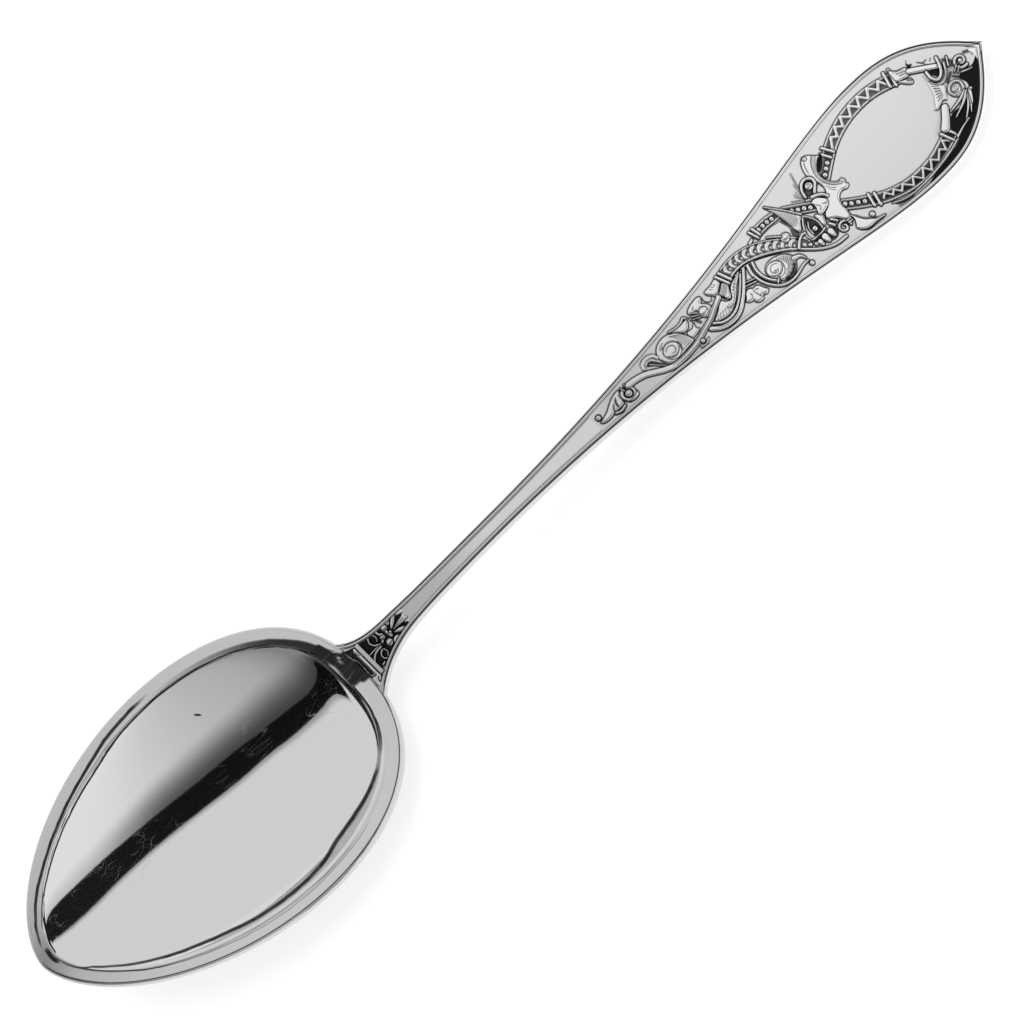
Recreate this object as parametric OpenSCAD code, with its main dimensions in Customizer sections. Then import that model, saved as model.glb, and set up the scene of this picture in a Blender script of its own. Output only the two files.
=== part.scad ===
// Table spoon of silver, struck and raised from one blank of metal.
// X runs from the tip of the bowl to the tip of the handle, Z points up from the table,
// and the origin lies on the table, in the middle of the spoon's length and width.

/* [Whole spoon] */
// Length from the tip of the bowl to the tip of the handle
spoon_len = 210; // [190:1:230]

/* [Bowl] */
// Length of the bowl from its tip to the heel
bowl_len = 69; // [62:0.5:78]
// Width of the bowl over its rim
bowl_width = 46.8; // [40:0.2:52]
// Distance from the bowl's tip to its widest place
bowl_wide_at = 40.5; // [36:0.5:44]
// Depth of the hollow below the rim
bowl_depth = 7.8; // [5:0.1:10]
// Thickness of the bowl's wall
wall = 1.2; // [1:0.1:2.2]
// Width of the lip around the hollow
lip_width = 3; // [1.6:0.1:4]
// Thickness of the lip at its outer side
lip_thick = 1.8; // [1.3:0.1:2.6]
// Height by which the rim climbs from the widest place to the tip
tip_rise = 7.4; // [2:0.1:9]
// Height by which the rim falls from the widest place to the heel
heel_fall = 3.5; // [1:0.1:5]

/* [Stem and handle] */
// Width of the stem where it is thinnest
stem_width = 3.9; // [3:0.1:5]
// Thickness of the stem behind the neck
stem_thick = 2.8; // [2.2:0.1:4]
// Distance from the heel to the thinnest place of the stem
stem_thin_at = 29; // [20:0.5:40]
// Width by which the neck flares on each side where it meets the bowl
neck_flare = 4.4; // [1.5:0.1:6]
// Length along which the flare of the neck dies out
neck_flare_len = 4.6; // [3:0.1:7]
// Step by which the neck's face lies below the lip at the heel
heel_step = 0.2; // [0.1:0.05:0.5]
// Height of the neck's face above the rim of the heel
neck_rise = 3.2; // [0.5:0.1:5]
// Height of the handle's arch above the rim of the heel
arch_rise = 2.4; // [1:0.1:6]
// Width of the handle at its widest place
lobe_width = 22.7; // [18:0.1:27]
// Distance from the handle's tip to its widest place
lobe_at = 20.5; // [16:0.5:26]
// Thickness of the handle at its widest place
lobe_thick = 1.9; // [1.5:0.1:2.6]
// Height by which the handle's tip turns up
tip_lift = 0.9; // [0:0.1:2]

/* [Border and ornament] */
// Width of the rolled edge outside the groove
roll_width = 0.35; // [0.25:0.05:0.6]
// Width of the raised thread inside the groove
thread_width = 0.4; // [0.3:0.05:0.6]
// Width of the groove on each side of the thread
groove_width = 0.18; // [0.12:0.02:0.3]
// Depth of the ground inside the threads, below the handle's face
ground_depth = 0.3; // [0.15:0.05:0.5]
// Height of the struck ornament above the ground
relief = 0.6; // [0.35:0.05:0.9]
// Length of the ornament from the handle's tip to the bead on its sprig
ornament_len = 86.5; // [75:0.5:92]
// Width of the band that frames the plain oval field
band_width = 2.2; // [1.6:0.1:2.8]
// Height of the plain oval field
field_height = 13; // [10:0.2:14]
// Length of the plain oval field
field_len = 22; // [18:0.2:24]

/* [Drop on the back] */
// Length of the drop under the bowl, from the heel
drop_len = 12; // [8:0.5:18]
// Width of the drop where it leaves the stem
drop_width = 6.4; // [4:0.1:8]
// Height of the drop below the bowl's back
drop_height = 1; // [0.4:0.1:1.6]

/* [Hidden] */

tip_x = -spoon_len/2;
wide_x = tip_x + bowl_wide_at;
heel_x = tip_x + bowl_len;
thin_x = heel_x + stem_thin_at;
end_x = spoon_len/2;
lobe_x = end_x - lobe_at;
bowl_half = bowl_width/2;

// Fullness of the bowl's outline, shared between its tip and its heel by the place where it is widest
bowl_full = 2;
tip_full = bowl_full*bowl_wide_at/bowl_len;
heel_full = bowl_full - tip_full;
// Exponents by which the handle widens, and by which its end closes to the point
widen = 2.1;
round_off = 12;
end_full = 2.6;

// Heights of the handle's face and the bowl's rim, as places of X and Z, over the widest part of the bowl
FACE = [
    [tip_x, tip_rise],
    [wide_x, 0],
    [heel_x, -heel_fall],
    [heel_x + 0.35*stem_thin_at, neck_rise - heel_fall],
    [heel_x + 1.6*stem_thin_at, arch_rise - heel_fall],
    [lobe_x + 3, lobe_thick - bowl_depth - wall],
    [end_x, lobe_thick - bowl_depth - wall + tip_lift]
];
// Thickness of the handle, as places of X and thickness
THICK = [
    [heel_x, lip_thick + 0.6],
    [heel_x + 0.35*stem_thin_at, stem_thick + 0.2],
    [heel_x + 1.6*stem_thin_at, stem_thick],
    [lobe_x, lobe_thick],
    [end_x, lobe_thick]
];

// The ornament's points are given on a spoon of these measures, and follow the real one
DRAWN_END = 105;
DRAWN_LEN = 86.5;
DRAWN_WIDTH = 21.5;
along_scale = ornament_len/DRAWN_LEN;
across_scale = lobe_width/DRAWN_WIDTH;
SINK = 0.25;
path_steps = 2;
ring_steps = 40;
bead_sides = 7;

// Curve helpers

function mix(a, b, t) = a + (b - a)*t;

function smooth(t) = let (c = min(1, max(0, t))) c*c*(3 - 2*c);

// Slope of a height table at one of its places
function slope(k, i) =
    let (a = k[max(0, i - 1)], b = k[min(len(k) - 1, i + 1)])
    (b.y - a.y)/(b.x - a.x);

// Height at x on the smooth curve through a table of places
function height_at(k, x) =
    let (
        i = max([for (n = [0:len(k) - 2]) if (n == 0 || x >= k[n].x) n]),
        run = k[i + 1].x - k[i].x,
        t = (x - k[i].x)/run,
        a = slope(k, i)*run,
        b = slope(k, i + 1)*run
    )
    k[i].y*(1 + 2*t)*(1 - t)*(1 - t) + a*t*(1 - t)*(1 - t)
    + k[i + 1].y*t*t*(3 - 2*t) - b*t*t*(1 - t);

function face_z(x) = height_at(FACE, x);

// Point on the rounded path through four neighbours
function path_point(a, b, c, d, t) =
    0.5*(2*b + (c - a)*t + (2*a - 5*b + 4*c - d)*t*t + (3*b - a - 3*c + d)*t*t*t);

// Smooth path through points, which keeps them
function smooth_path(p, steps = path_steps) =
    let (n = len(p) - 1)
    [for (i = [0:n - 1], s = [0:steps - 1])
        path_point(
            i == 0 ? 2*p[0] - p[1] : p[i - 1], p[i], p[i + 1],
            i == n - 1 ? 2*p[n] - p[n - 1] : p[i + 2], s/steps),
     p[n]];

// Arc of an ellipse, by its centre, half axes and end angles
function oval_arc(c, a, b, from, to, steps) =
    [for (i = [0:steps]) let (t = mix(from, to, i/steps)) [c.x + a*cos(t), c.y + b*sin(t)]];

// Spiral from an outer radius to an inner one
function spiral(c, r_out, r_in, from, to, steps) =
    [for (i = [0:steps])
        let (t = mix(from, to, i/steps), r = mix(r_out, r_in, i/steps))
        [c.x + r*cos(t), c.y + r*sin(t)]];

// Bowl

// Half width of the bowl's outline, as a share of its widest, at a share of its length from the tip
function egg(t) =
    let (
        c = min(1, max(0, t)),
        m = bowl_wide_at/bowl_len,
        peak = pow(m, tip_full)*pow(1 - m, heel_full)
    )
    sqrt(pow(c, tip_full)*pow(1 - c, heel_full)/peak);

// Share of the length of the bowl's outline, drawn in by a margin, at x
function egg_share(x, margin) = (x - tip_x - margin)/(bowl_len - 2*margin);

// Fall of the hollow at a place, from 0 on the outline to 1 over the deepest place
function hollow(x, y, margin) =
    let (w = egg(egg_share(x, margin)), v = y/(bowl_half - margin))
    pow(max(0, w*w - v*v), 0.92);

// Point on the bowl's outline, drawn in by a margin and scaled towards the middle
function rim_point(angle, margin, share) =
    let (
        t = (1 + cos(angle))/2,
        x = tip_x + margin + t*(bowl_len - 2*margin),
        y = (bowl_half - margin)*egg(t)*(sin(angle) < 0 ? -1 : 1)
    )
    [wide_x + share*(x - wide_x), share*y];

// Ring of points on the lip, at a margin from the outline and a depth below the rim
function lip_ring(margin, depth) =
    [for (i = [0:ring_steps - 1])
        let (p = rim_point(360*i/ring_steps, margin, 1))
        [p.x, p.y, face_z(p.x) - depth]];

// Depth of the hollow and of the back below the rim
function hollow_depth(x, y) = lip_fall + (bowl_depth - lip_fall)*hollow(x, y, lip_width);
function back_depth(x, y) = lip_thick + (bowl_depth + wall - lip_thick)*hollow(x, y, 0);

function hollow_ring(share) =
    [for (i = [0:ring_steps - 1])
        let (p = rim_point(360*i/ring_steps, lip_width, share))
        [p.x, p.y, face_z(p.x) - hollow_depth(p.x, p.y)]];

function back_ring(share) =
    [for (i = [0:ring_steps - 1])
        let (p = rim_point(360*i/ring_steps, 0, share))
        [p.x, p.y, face_z(p.x) - back_depth(p.x, p.y)]];

// The lip as margins and depths: inner edge, end of its level top, round edge, side and turn to the back
lip_fall = 0.3;
LIP = [
    [lip_width, 0],
    [0.25*lip_width, 0],
    [0.07*lip_width, 0.2*lip_thick],
    [0, 0.55*lip_thick],
    [0.1*lip_width, 0.95*lip_thick]
];
HOLLOW_SHARES = [0.22, 0.46, 0.68, 0.86];
BACK_SHARES = [0.93, 0.75, 0.5, 0.24];

// Rings of the bowl from the middle of the hollow, over the lip and down to the middle of the back
BOWL_RINGS = concat(
    [for (share = HOLLOW_SHARES) hollow_ring(share)],
    [for (p = LIP) lip_ring(p.x, p.y)],
    [for (share = BACK_SHARES) back_ring(share)]
);

// Faces between rings of equal count, with a fan to a middle point at each end
function ring_faces(rings, count) = concat(
    [for (r = [0:rings - 2], i = [0:count - 1])
        let (j = (i + 1) % count)
        each [
            [r*count + i, (r + 1)*count + j, (r + 1)*count + i],
            [r*count + i, r*count + j, (r + 1)*count + j]
        ]],
    [for (i = [0:count - 1]) [rings*count, (i + 1) % count, i]],
    [for (i = [0:count - 1]) [rings*count + 1, (rings - 1)*count + i, (rings - 1)*count + (i + 1) % count]]
);

// Faces of a loft through sections of equal count, with a cap at each end
function loft_faces(steps, count) = concat(
    [for (s = [0:steps - 1], i = [0:count - 1])
        let (j = (i + 1) % count)
        each [
            [s*count + i, (s + 1)*count + i, (s + 1)*count + j],
            [s*count + i, (s + 1)*count + j, s*count + j]
        ]],
    [
        [for (i = [0:count - 1]) i],
        [for (i = [count - 1:-1:0]) steps*count + i]
    ]
);

module bowl() {
    points = [for (ring = BOWL_RINGS) each ring];
    middles = [
        [wide_x, 0, face_z(wide_x) - hollow_depth(wide_x, 0)],
        [wide_x, 0, face_z(wide_x) - back_depth(wide_x, 0)]
    ];
    polyhedron(concat(points, middles), ring_faces(len(BOWL_RINGS), ring_steps));
}

// Drop: a tongue of metal that runs from the stem on to the bowl's back

drop_stations = 8;
drop_sides = 8;

function drop_section(t) =
    let (
        x = heel_x + 2 - t*(drop_len + 2),
        half = mix(drop_width/2, drop_width/5, t)*sqrt(max(0.02, 1 - pow(t, 6))),
        back = face_z(x) - back_depth(x, 0),
        low = drop_height*(1 - 0.8*t)
    )
    [for (i = [0:drop_sides])
        let (a = 180*i/drop_sides)
        [x, half*cos(a), back + 0.6*wall - (low + 0.6*wall)*sin(a)]];

module drop() {
    polyhedron(
        [for (s = [0:drop_stations]) each drop_section(s/drop_stations)],
        loft_faces(drop_stations, drop_sides + 1));
}

// Stem and handle

// Half width of the handle at x: thin stem, flare at the neck, widening lobe and pointed end
function handle_half(x) =
    let (
        t = max(0, (x - thin_x)/(lobe_x - thin_x)),
        gain = round_off/(round_off - widen),
        grow = gain*pow(t, widen) - (gain - 1)*pow(t, round_off),
        flare = neck_flare*exp(-max(0, x - heel_x + 1)/neck_flare_len),
        u = max(0, (x - lobe_x)/lobe_at)
    )
    x < lobe_x
    ? stem_width/2 + flare + (lobe_width - stem_width)/2*grow
    : lobe_width/2*max(0.004, 1 - pow(u, end_full));

// Stretch of distances across the border where the edge runs aslant
function lean(x) =
    let (step = 0.2, rise = (handle_half(x + step) - handle_half(x - step))/(2*step))
    x > end_x - step ? 1 : min(1.8, sqrt(1 + rise*rise));

border = roll_width + 2*groove_width + thread_width;

// Half of the handle's face, from the side to the middle, as distance from the edge and drop from the face
function face_half(x) = [
    [0, 0.45*lobe_thick],
    [0.25*roll_width, 0.1],
    [roll_width, 0],
    [roll_width + groove_width/2, 0.6*ground_depth],
    [roll_width + groove_width, 0],
    [roll_width + groove_width + thread_width, 0],
    [border, ground_depth]
];

back_sides = 6;

// Closed section of the handle at x, from its left side over the face and round the back
function handle_section(x) =
    let (
        half = handle_half(x),
        z = face_z(x) - heel_step*(1 - smooth((x - heel_x)/neck_flare_len)),
        thick = height_at(THICK, x),
        fit = min(1, half/(1.25*border))*lean(x),
        side = face_half(x),
        edge = side[0].y,
        full = smooth((x - thin_x)/(lobe_x - thin_x))
    )
    concat(
        [for (p = side) [x, half - min(0.9*half, p.x*fit), z - p.y]],
        [[x, 0, z - ground_depth]],
        [for (i = [len(side) - 1:-1:0]) [x, -half + min(0.9*half, side[i].x*fit), z - side[i].y]],
        [for (i = [1:back_sides - 1])
            let (
                a = 180*i/back_sides,
                bulge = pow(sin(a), mix(0.75, 0.45, full))
            )
            [x, -half*cos(a), z - edge - (thick - edge)*bulge]]
    );

handle_start = heel_x - 0.7*lip_width;
// Stretches of the handle as places of X, each with its count of steps to the next
neck_end = heel_x + 3*neck_flare_len;
lobe_start = lobe_x - lobe_at;
STRETCHES = [[handle_start, neck_end, 8], [neck_end, lobe_start, 11], [lobe_start, end_x, 15]];
HANDLE_XS = concat(
    [for (s = STRETCHES, i = [0:s[2] - 1]) mix(s[0], s[1], i/s[2])],
    [end_x]
);

module handle() {
    polyhedron(
        [for (x = HANDLE_XS) each handle_section(x)],
        loft_faces(len(HANDLE_XS) - 1, len(handle_section(0))));
}

// Ornament

// Drawn point of the ornament carried to the real handle
function placed(p) = [end_x + (p.x - DRAWN_END)*along_scale, p.y*across_scale];

function ground_z(x) = face_z(x) - ground_depth;

// Sections of the raised strips, from left to right, as shares of half width and of height
RIDGE = [[1, 0], [0, 1], [-1, 0]];
PLAIN = [[1, 0], [0.55, 1], [-0.55, 1], [-1, 0]];
RAILED = [[1, 0], [0.97, 1], [0.78, 1], [0.68, 0.45], [-0.68, 0.45], [-0.78, 1], [-0.97, 1], [-1, 0]];

ridge_under = 0.36;

// Raised strip along a path: half widths from start to end, its height and its section, a ridge if it is thin
module strip(path, from, to, high = relief, wide_section = PLAIN) {
    section = max(from, to) < ridge_under ? RIDGE : wide_section;
    n = len(path) - 1;
    count = len(section);
    points = [for (i = [0:n])
        let (
            p = placed(path[i]),
            a = placed(path[max(0, i - 1)]),
            b = placed(path[min(n, i + 1)]),
            across = [-(b - a).y, (b - a).x]/norm(b - a),
            half = mix(from, to, i/n)
        )
        each [for (q = section)
            let (x = p.x + q.x*half*across.x)
            [x, p.y + q.x*half*across.y, ground_z(x) + (q.y == 0 ? -SINK : q.y*high)]]];
    polyhedron(points, loft_faces(n, count));
}

// Round bead
module bead(p, r, high = relief) {
    q = placed(p);
    translate([q.x, q.y, ground_z(q.x) - SINK])
        hull() {
            cylinder(r = r, h = SINK + 0.12*high, $fn = bead_sides);
            cylinder(r = 0.5*r, h = SINK + high + 0.1, $fn = bead_sides);
        }
}

// Straight bar with round ends
module bar(a, b, r = 0.22, high = relief) {
    hull()
        for (p = [placed(a), placed(b)])
            translate([p.x, p.y, ground_z(p.x) - SINK])
                cylinder(r = r, h = SINK + high, $fn = 6);
}

// Plain oval field in its two beaded bands

FIELD = [83.4, 0];

// Angle on the field's band at a drawn X, on the upper side
function band_angle(x) = acos((x - FIELD.x)/(field_len/2 + band_width/2));

module band(side, from_x, to_x) {
    strip(
        oval_arc(FIELD, field_len/2 + band_width/2, field_height/2 + band_width/2,
            side*band_angle(from_x), side*band_angle(to_x), 12),
        band_width/2, band_width/2, relief, RAILED);
}

// Zigzag in a band, as one angled strip
module zigzag(side, from_x, to_x, count) {
    path = [for (i = [0:count])
        let (
            t = side*mix(band_angle(from_x), band_angle(to_x), i/count),
            m = (i % 2 == 0 ? -1 : 1)*0.26*band_width,
            a = field_len/2 + band_width/2 + m,
            b = field_height/2 + band_width/2 + m
        )
        [FIELD.x + a*cos(t), FIELD.y + b*sin(t)]];
    strip(path, 0.16, 0.16, 0.85*relief);
}

// Pair of bars across a band
module clasp(side, x) {
    for (step = [0, 0.7]) {
        t = side*band_angle(x + step);
        inner = [FIELD.x + field_len/2*cos(t), FIELD.y + field_height/2*sin(t)];
        outer = [
            FIELD.x + (field_len/2 + band_width)*cos(t),
            FIELD.y + (field_height/2 + band_width)*sin(t)
        ];
        bar(inner, outer, 0.24, relief + 0.05);
    }
}

module field_frame() {
    band(1, 73.2, 91.6);
    band(-1, 72.2, 92.2);
    zigzag(1, 76.6, 89.8, 12);
    zigzag(-1, 76.8, 90.2, 13);
    for (x = [74.9, 90.4]) {
        clasp(1, x);
        clasp(-1, x);
    }
    for (p = [[72.5, 3.3], [73.3, 3.9], [74.1, 4.5], [71.4, -2.3], [72.2, -3.1], [73.1, -3.8], [74, -4.6]])
        bead(p, 0.42);
}

// Beast that bites the lower end of the frame

module beast() {
    // neck, from the frame down to the nose
    strip(smooth_path([[73.2, 6.8], [72, 5.6], [71.5, 4], [72.2, 2.2], [73.6, 0.8]]), 0.55, 0.5);
    strip(smooth_path([[70.3, 4.9], [70.7, 6.6], [71.7, 7.5], [73, 7], [73.8, 5.9]]), 0.3, 0.3);
    // brow around the eye, and the eye
    strip(smooth_path([[68, 2.3], [68.2, 4], [69.2, 4.9], [70.3, 4.3], [70.3, 3], [69, 2]]), 0.3, 0.25);
    bead([69.3, 3.8], 0.55, 1.1*relief);
    // snout with its nose, and jaw
    strip(smooth_path([[70.2, 2.3], [71.4, 0.6], [72.8, -0.1], [74, 0]]), 0.9, 0.5);
    strip(smooth_path([[73.8, -0.9], [72.4, -0.7], [71.2, -1.5], [70.8, -3.4], [70.3, -4.8]]), 0.4, 0.6);
    strip(smooth_path([[67.4, 0.4], [68.4, -0.9], [70, -0.3], [70.6, -1.6], [69.4, -2.8]]), 0.6, 0.7);
    strip(spiral([68.7, -5], 0.9, 0.3, 60, 420, 10), 0.3, 0.2);
    // paw with its bead
    strip(smooth_path([[70.3, -5.6], [70.9, -7.2], [72.4, -8], [74.6, -8.2]]), 0.9, 0.2);
    strip(smooth_path([[71.2, -4.6], [71.9, -6], [73, -6.8]]), 0.4, 0.25);
    bead([73.3, -6.7], 0.48);
}

// Wing, strap and shield that cross between the two scrolls

module wing_and_strap() {
    strip([[61.6, 5.9], [65.3, 0.6]], 0.22, 0.3);
    strip([[61.9, 4.4], [64.1, 0.2]], 0.75, 0.4, 0.6*relief);
    strip([[61.4, 3.9], [62.9, 0]], 0.35, 0.2, 0.8*relief);
    // strap with its beads, on both sides of the wing
    strip([[57.6, 3.7], [59.2, 4.05], [61.7, 3.8]], 0.9, 0.85, 0.8*relief, RAILED);
    strip([[63.6, 3.2], [65.3, 2.4], [67.6, 0.75]], 0.9, 0.85, 0.8*relief, RAILED);
    for (p = [[58.8, 4.1], [59.7, 4.1], [60.6, 4.1], [61.4, 4], [64.7, 2.7], [65.5, 2.3], [66.3, 1.7], [67.1, 1.1]])
        bead(p, 0.4);
    for (x = [57.5, 58.1])
        bar([x, 4.9], [x + 0.1, 3], 0.2);
    bar([67.5, 1.6], [67.7, -0.2], 0.2);
    // shield with a bead in its middle
    strip(smooth_path([[65.1, 0.8], [63.9, -0.6], [63.7, -2.4], [64.5, -3]]), 0.2, 0.2);
    strip(smooth_path([[65.1, 0.8], [66, -0.8], [66.1, -2.4], [65.4, -3.1]]), 0.2, 0.2);
    bead([65.2, -1.8], 0.5);
    // folds of the body under the shield
    strip(smooth_path([[61.4, -2.6], [63.2, -3], [65.6, -3.6], [68, -3.4]]), 0.5, 0.7);
}

// Scaled body that runs from its cuff under the wing to the jaw

BODY = [[49.8, 2.8], [53, 3], [56, 2.1], [59, 0.4], [61.2, -1.8], [63, -4.2], [65.6, -5.9], [68.6, -6.4]];

module scaled_body() {
    strip(smooth_path(BODY), 1.2, 0.7, relief, RAILED);
    for (p = [[50.5, 2.9], [51.7, 3.2], [52.9, 3.2], [54.2, 3], [55.4, 2.5], [56.7, 1.9], [57.9, 1.2], [59, 0.4]])
        bead(p, 0.42, 0.9*relief);
    for (x = [48.6, 49.3])
        bar([x, 3.7], [x + 0.7, 1.3], 0.26, relief + 0.05);
    bead([60.8, 0.3], 0.85, 0.9*relief);
}

// Scroll: a volute with a stem that winds in to a round boss
module volute(centre, r_out, r_in, from, to) {
    strip(spiral(centre, r_out, r_in, from, to, 14), 0.42, 0.3);
    bead(centre, 0.75*r_in, 0.8*relief);
}

module scrolls() {
    // large scroll with its tail and bead
    volute([55.9, -2.3], 2.8, 1.5, -20, -400);
    strip(smooth_path([[53.3, 1], [52.9, -1.2], [53.4, -3.4], [55, -5], [57.4, -5.2], [59.4, -4.9], [60.8, -5.1]]),
        0.45, 0.14);
    bead([61.1, -5.6], 0.42);
    // leaf of three lobes that hangs from the tendril
    strip([[52.3, -1.2], [51.2, -2.9]], 0.5, 0.8);
    for (p = [[50.2, -3], [51.2, -3.7], [52.4, -3.3]])
        bead(p, 0.8, 0.8*relief);
    // crescent leaf, its rib and its lens
    strip(smooth_path([[41.9, -1.9], [43.6, -3], [46, -3.5], [48.8, -2.8], [51, -0.8], [52.9, 1.5]]), 0.35, 0.5);
    strip(smooth_path([[43.2, -1.8], [46, -2.2], [48.6, -1.2], [51, 0.6]]), 0.5, 0.5, 0.7*relief);
    // calyx of the body
    strip(smooth_path([[48, 2.4], [46.6, 2.3], [45.5, 1.9]]), 1.1, 0.5);
    strip(smooth_path([[48, 1], [47.3, 0.3], [47.6, -0.5]]), 0.7, 0.4);
    // rosette between two leaves
    bead([43.3, 0.9], 1.15);
    strip(smooth_path([[41.3, 2.3], [42.6, 2.9], [44.1, 2.8]]), 0.35, 0.5);
    strip(smooth_path([[44, 0.6], [45.1, 0.7], [46, 1.2]]), 0.45, 0.2);
    // small scroll
    volute([35.2, 0.1], 2.1, 1.1, 200, 620);
    strip(smooth_path([[24.5, 1.1], [28, 0.9], [30.6, -0.1], [33, -1.8], [36.2, -2.7], [40, -1.9], [43, -0.7],
        [46.6, 0.5]]), 0.4, 0.45);
    strip(smooth_path([[33, -1.8], [32.7, 0.3], [33.8, 1.9], [35.8, 2.3], [37.6, 1.2], [38.4, -0.6]]), 0.35, 0.4);
    strip(smooth_path([[37.8, 1.8], [39.2, 1.3], [40.3, 1.6], [40.2, 2.3], [39.6, 2.3]]), 0.4, 0.2);
    strip(smooth_path([[38.8, 0.2], [40.2, 0], [41.6, 0.6]]), 0.6, 0.4);
    bead([39.9, -2.4], 0.5, 0.7*relief);
    strip(smooth_path([[30, 1.5], [31.4, 2], [32.4, 1.6]]), 0.2, 0.25);
    strip([[31.2, 1.1], [32.3, -0.4]], 0.35, 0.15);
}

// Sprig at the thin end of the ornament
module sprig() {
    strip(spiral([25.5, -0.1], 1.1, 0.4, 100, 460, 12), 0.28, 0.2);
    for (x = [25, 25.9])
        bar([x, 0.9], [x + 0.1, 1.5], 0.16);
    strip(smooth_path([[24.6, 1.1], [22.9, 0.6], [21.5, -0.3], [20.1, -0.6], [19.2, -0.2]]), 0.35, 0.14);
    strip([[23.3, 0.4], [22.7, -0.9]], 0.4, 0.2);
    strip([[24.1, 0], [23.7, -1]], 0.3, 0.2);
    bead([19.1, 0.5], 0.45);
}

// Small beast, loop and tassel at the pointed end of the handle
module end_figures() {
    strip(smooth_path([[91.6, 6.2], [93, 5], [94.6, 4.1], [97.1, 2.9]]), 0.9, 0.5);
    strip(smooth_path([[91.4, 5.2], [92.2, 4.4], [92.6, 3.6]]), 0.5, 0.25);
    strip(smooth_path([[95.5, 3.2], [95.4, 1.8], [96.2, 1.1], [97.3, 1.9], [98.2, 3.7]]), 0.25, 0.2);
    strip(smooth_path([[94.6, 3.5], [94, 1.6], [93.2, -0.4], [92, -1.9]]), 0.15, 0.2, 0.6*relief);
    strip(smooth_path([[94.2, 1], [95, 0.2], [96.2, 0.1], [97.6, 0.8], [98.6, 1.9], [99.2, 2.9]]), 0.4, 0.4);
    // head with its eye, snout and ear
    strip(smooth_path([[95.2, -1.7], [96, -0.4], [97.4, -0.2], [98.2, -1.5], [97.4, -2.8]]), 0.3, 0.3);
    bead([96.8, -1.5], 0.55, 1.1*relief);
    strip(smooth_path([[95.6, -2.2], [94.4, -1.7], [93, -1.9], [92.2, -2.2]]), 0.7, 0.35);
    strip(smooth_path([[98.3, -0.4], [99.6, 0.4], [99.3, 1.6], [100.4, 2.2], [101.4, 1.1], [100.6, -0.2],
        [102.4, -0.3]]), 0.4, 0.2);
    bead([100.4, 1], 0.5);
    // mane that falls behind the frame
    strip(smooth_path([[97.9, -3.3], [97.4, -4.2], [96.3, -5.2]]), 0.45, 0.2);
    strip(smooth_path([[97.3, -3.2], [96, -3.7], [94.4, -4.9]]), 0.45, 0.2);
    strip(smooth_path([[96.7, -2.9], [95.4, -3], [94.1, -3.6]]), 0.4, 0.2);
    strip(smooth_path([[98.6, -2.4], [100, -2.2], [101.2, -1.4]]), 0.4, 0.12);
    strip(smooth_path([[91.2, -7.3], [93.4, -6.9], [95, -6.4]]), 0.25, 0.1);
    strip(smooth_path([[91, -5.4], [92.4, -3.8], [93.2, -2.6]]), 0.4, 0.4);
}

// Palmette on the neck, drawn from the heel: petals, side curls and leaves
module palmette() {
    hub = heel_x + 7.7;
    lift = 0.35*relief;
    module petal(from, to, from_half, to_half) {
        // drawn coordinates that land on the neck
        origin = [(hub - end_x)/along_scale + DRAWN_END, 0];
        strip([origin + from, origin + to], from_half, to_half, relief + lift);
    }
    petal([-0.4, 0.05], [3.9, 0.1], 0.37, 0.45);
    petal([0.3, 0.35], [2.9, 1.15], 0.3, 0.38);
    petal([0.2, -0.3], [2.8, -1.05], 0.3, 0.38);
    petal([0.1, -0.05], [-6.2, 0.1], 0.7, 0.5);
    for (m = [-1, 1]) {
        petal([-0.6, m*0.45], [-2.3, m*1.55], 0.4, 0.55);
        petal([-1.1, m*0.6], [-6, m*2.3], 0.42, 0.5);
    }
}

module ornament() {
    field_frame();
    beast();
    wing_and_strap();
    scaled_body();
    scrolls();
    sprig();
    end_figures();
    palmette();
}

// Lowest place of the bare form, which lies on the table
low_z = min(concat(
    [for (ring = BOWL_RINGS, p = ring) p.z],
    [for (s = [0:drop_stations], p = drop_section(s/drop_stations)) p.z],
    [for (x = HANDLE_XS) face_z(x) - height_at(THICK, x)]));

module spoon() {
    color("silver")
        translate([0, 0, -low_z])
            union() {
                bowl();
                drop();
                handle();
                ornament();
            }
}

spoon();
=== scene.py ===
"""Dressed model of a silver table spoon, laid out as an add-on and run as a script.

It builds the whole spoon as one smooth body, the struck ornament on the handle as five thin plates,
the palmette on the neck as a sixth, one silver material, and the stage with its light and camera.
Lengths in the settings are in metres. The functions work in millimetres.
"""

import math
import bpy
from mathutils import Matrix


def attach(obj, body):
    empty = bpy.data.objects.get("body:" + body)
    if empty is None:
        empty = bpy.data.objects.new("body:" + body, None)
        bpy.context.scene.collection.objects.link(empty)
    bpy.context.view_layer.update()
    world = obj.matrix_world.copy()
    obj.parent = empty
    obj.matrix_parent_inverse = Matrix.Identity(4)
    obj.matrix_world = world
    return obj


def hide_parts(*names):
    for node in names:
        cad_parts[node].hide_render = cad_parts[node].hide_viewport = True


bl_info = {
    "name": "Silver Table Spoon",
    "version": (1, 0, 0),
    "blender": (4, 5, 0),
    "location": "3D View > Sidebar > Spoon",
    "description": "Builds a silver table spoon with a struck handle, and its stage",
    "category": "Object",
}

import bpy
import numpy as np
from bpy.props import FloatProperty, IntProperty, PointerProperty
from mathutils import Matrix, Vector

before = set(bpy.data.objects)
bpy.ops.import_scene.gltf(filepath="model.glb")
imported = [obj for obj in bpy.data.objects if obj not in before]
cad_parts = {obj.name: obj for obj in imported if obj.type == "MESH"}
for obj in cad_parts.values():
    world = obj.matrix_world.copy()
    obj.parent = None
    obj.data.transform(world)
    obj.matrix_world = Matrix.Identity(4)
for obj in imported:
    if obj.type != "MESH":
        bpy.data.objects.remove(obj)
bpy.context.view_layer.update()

MM = 0.001

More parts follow.
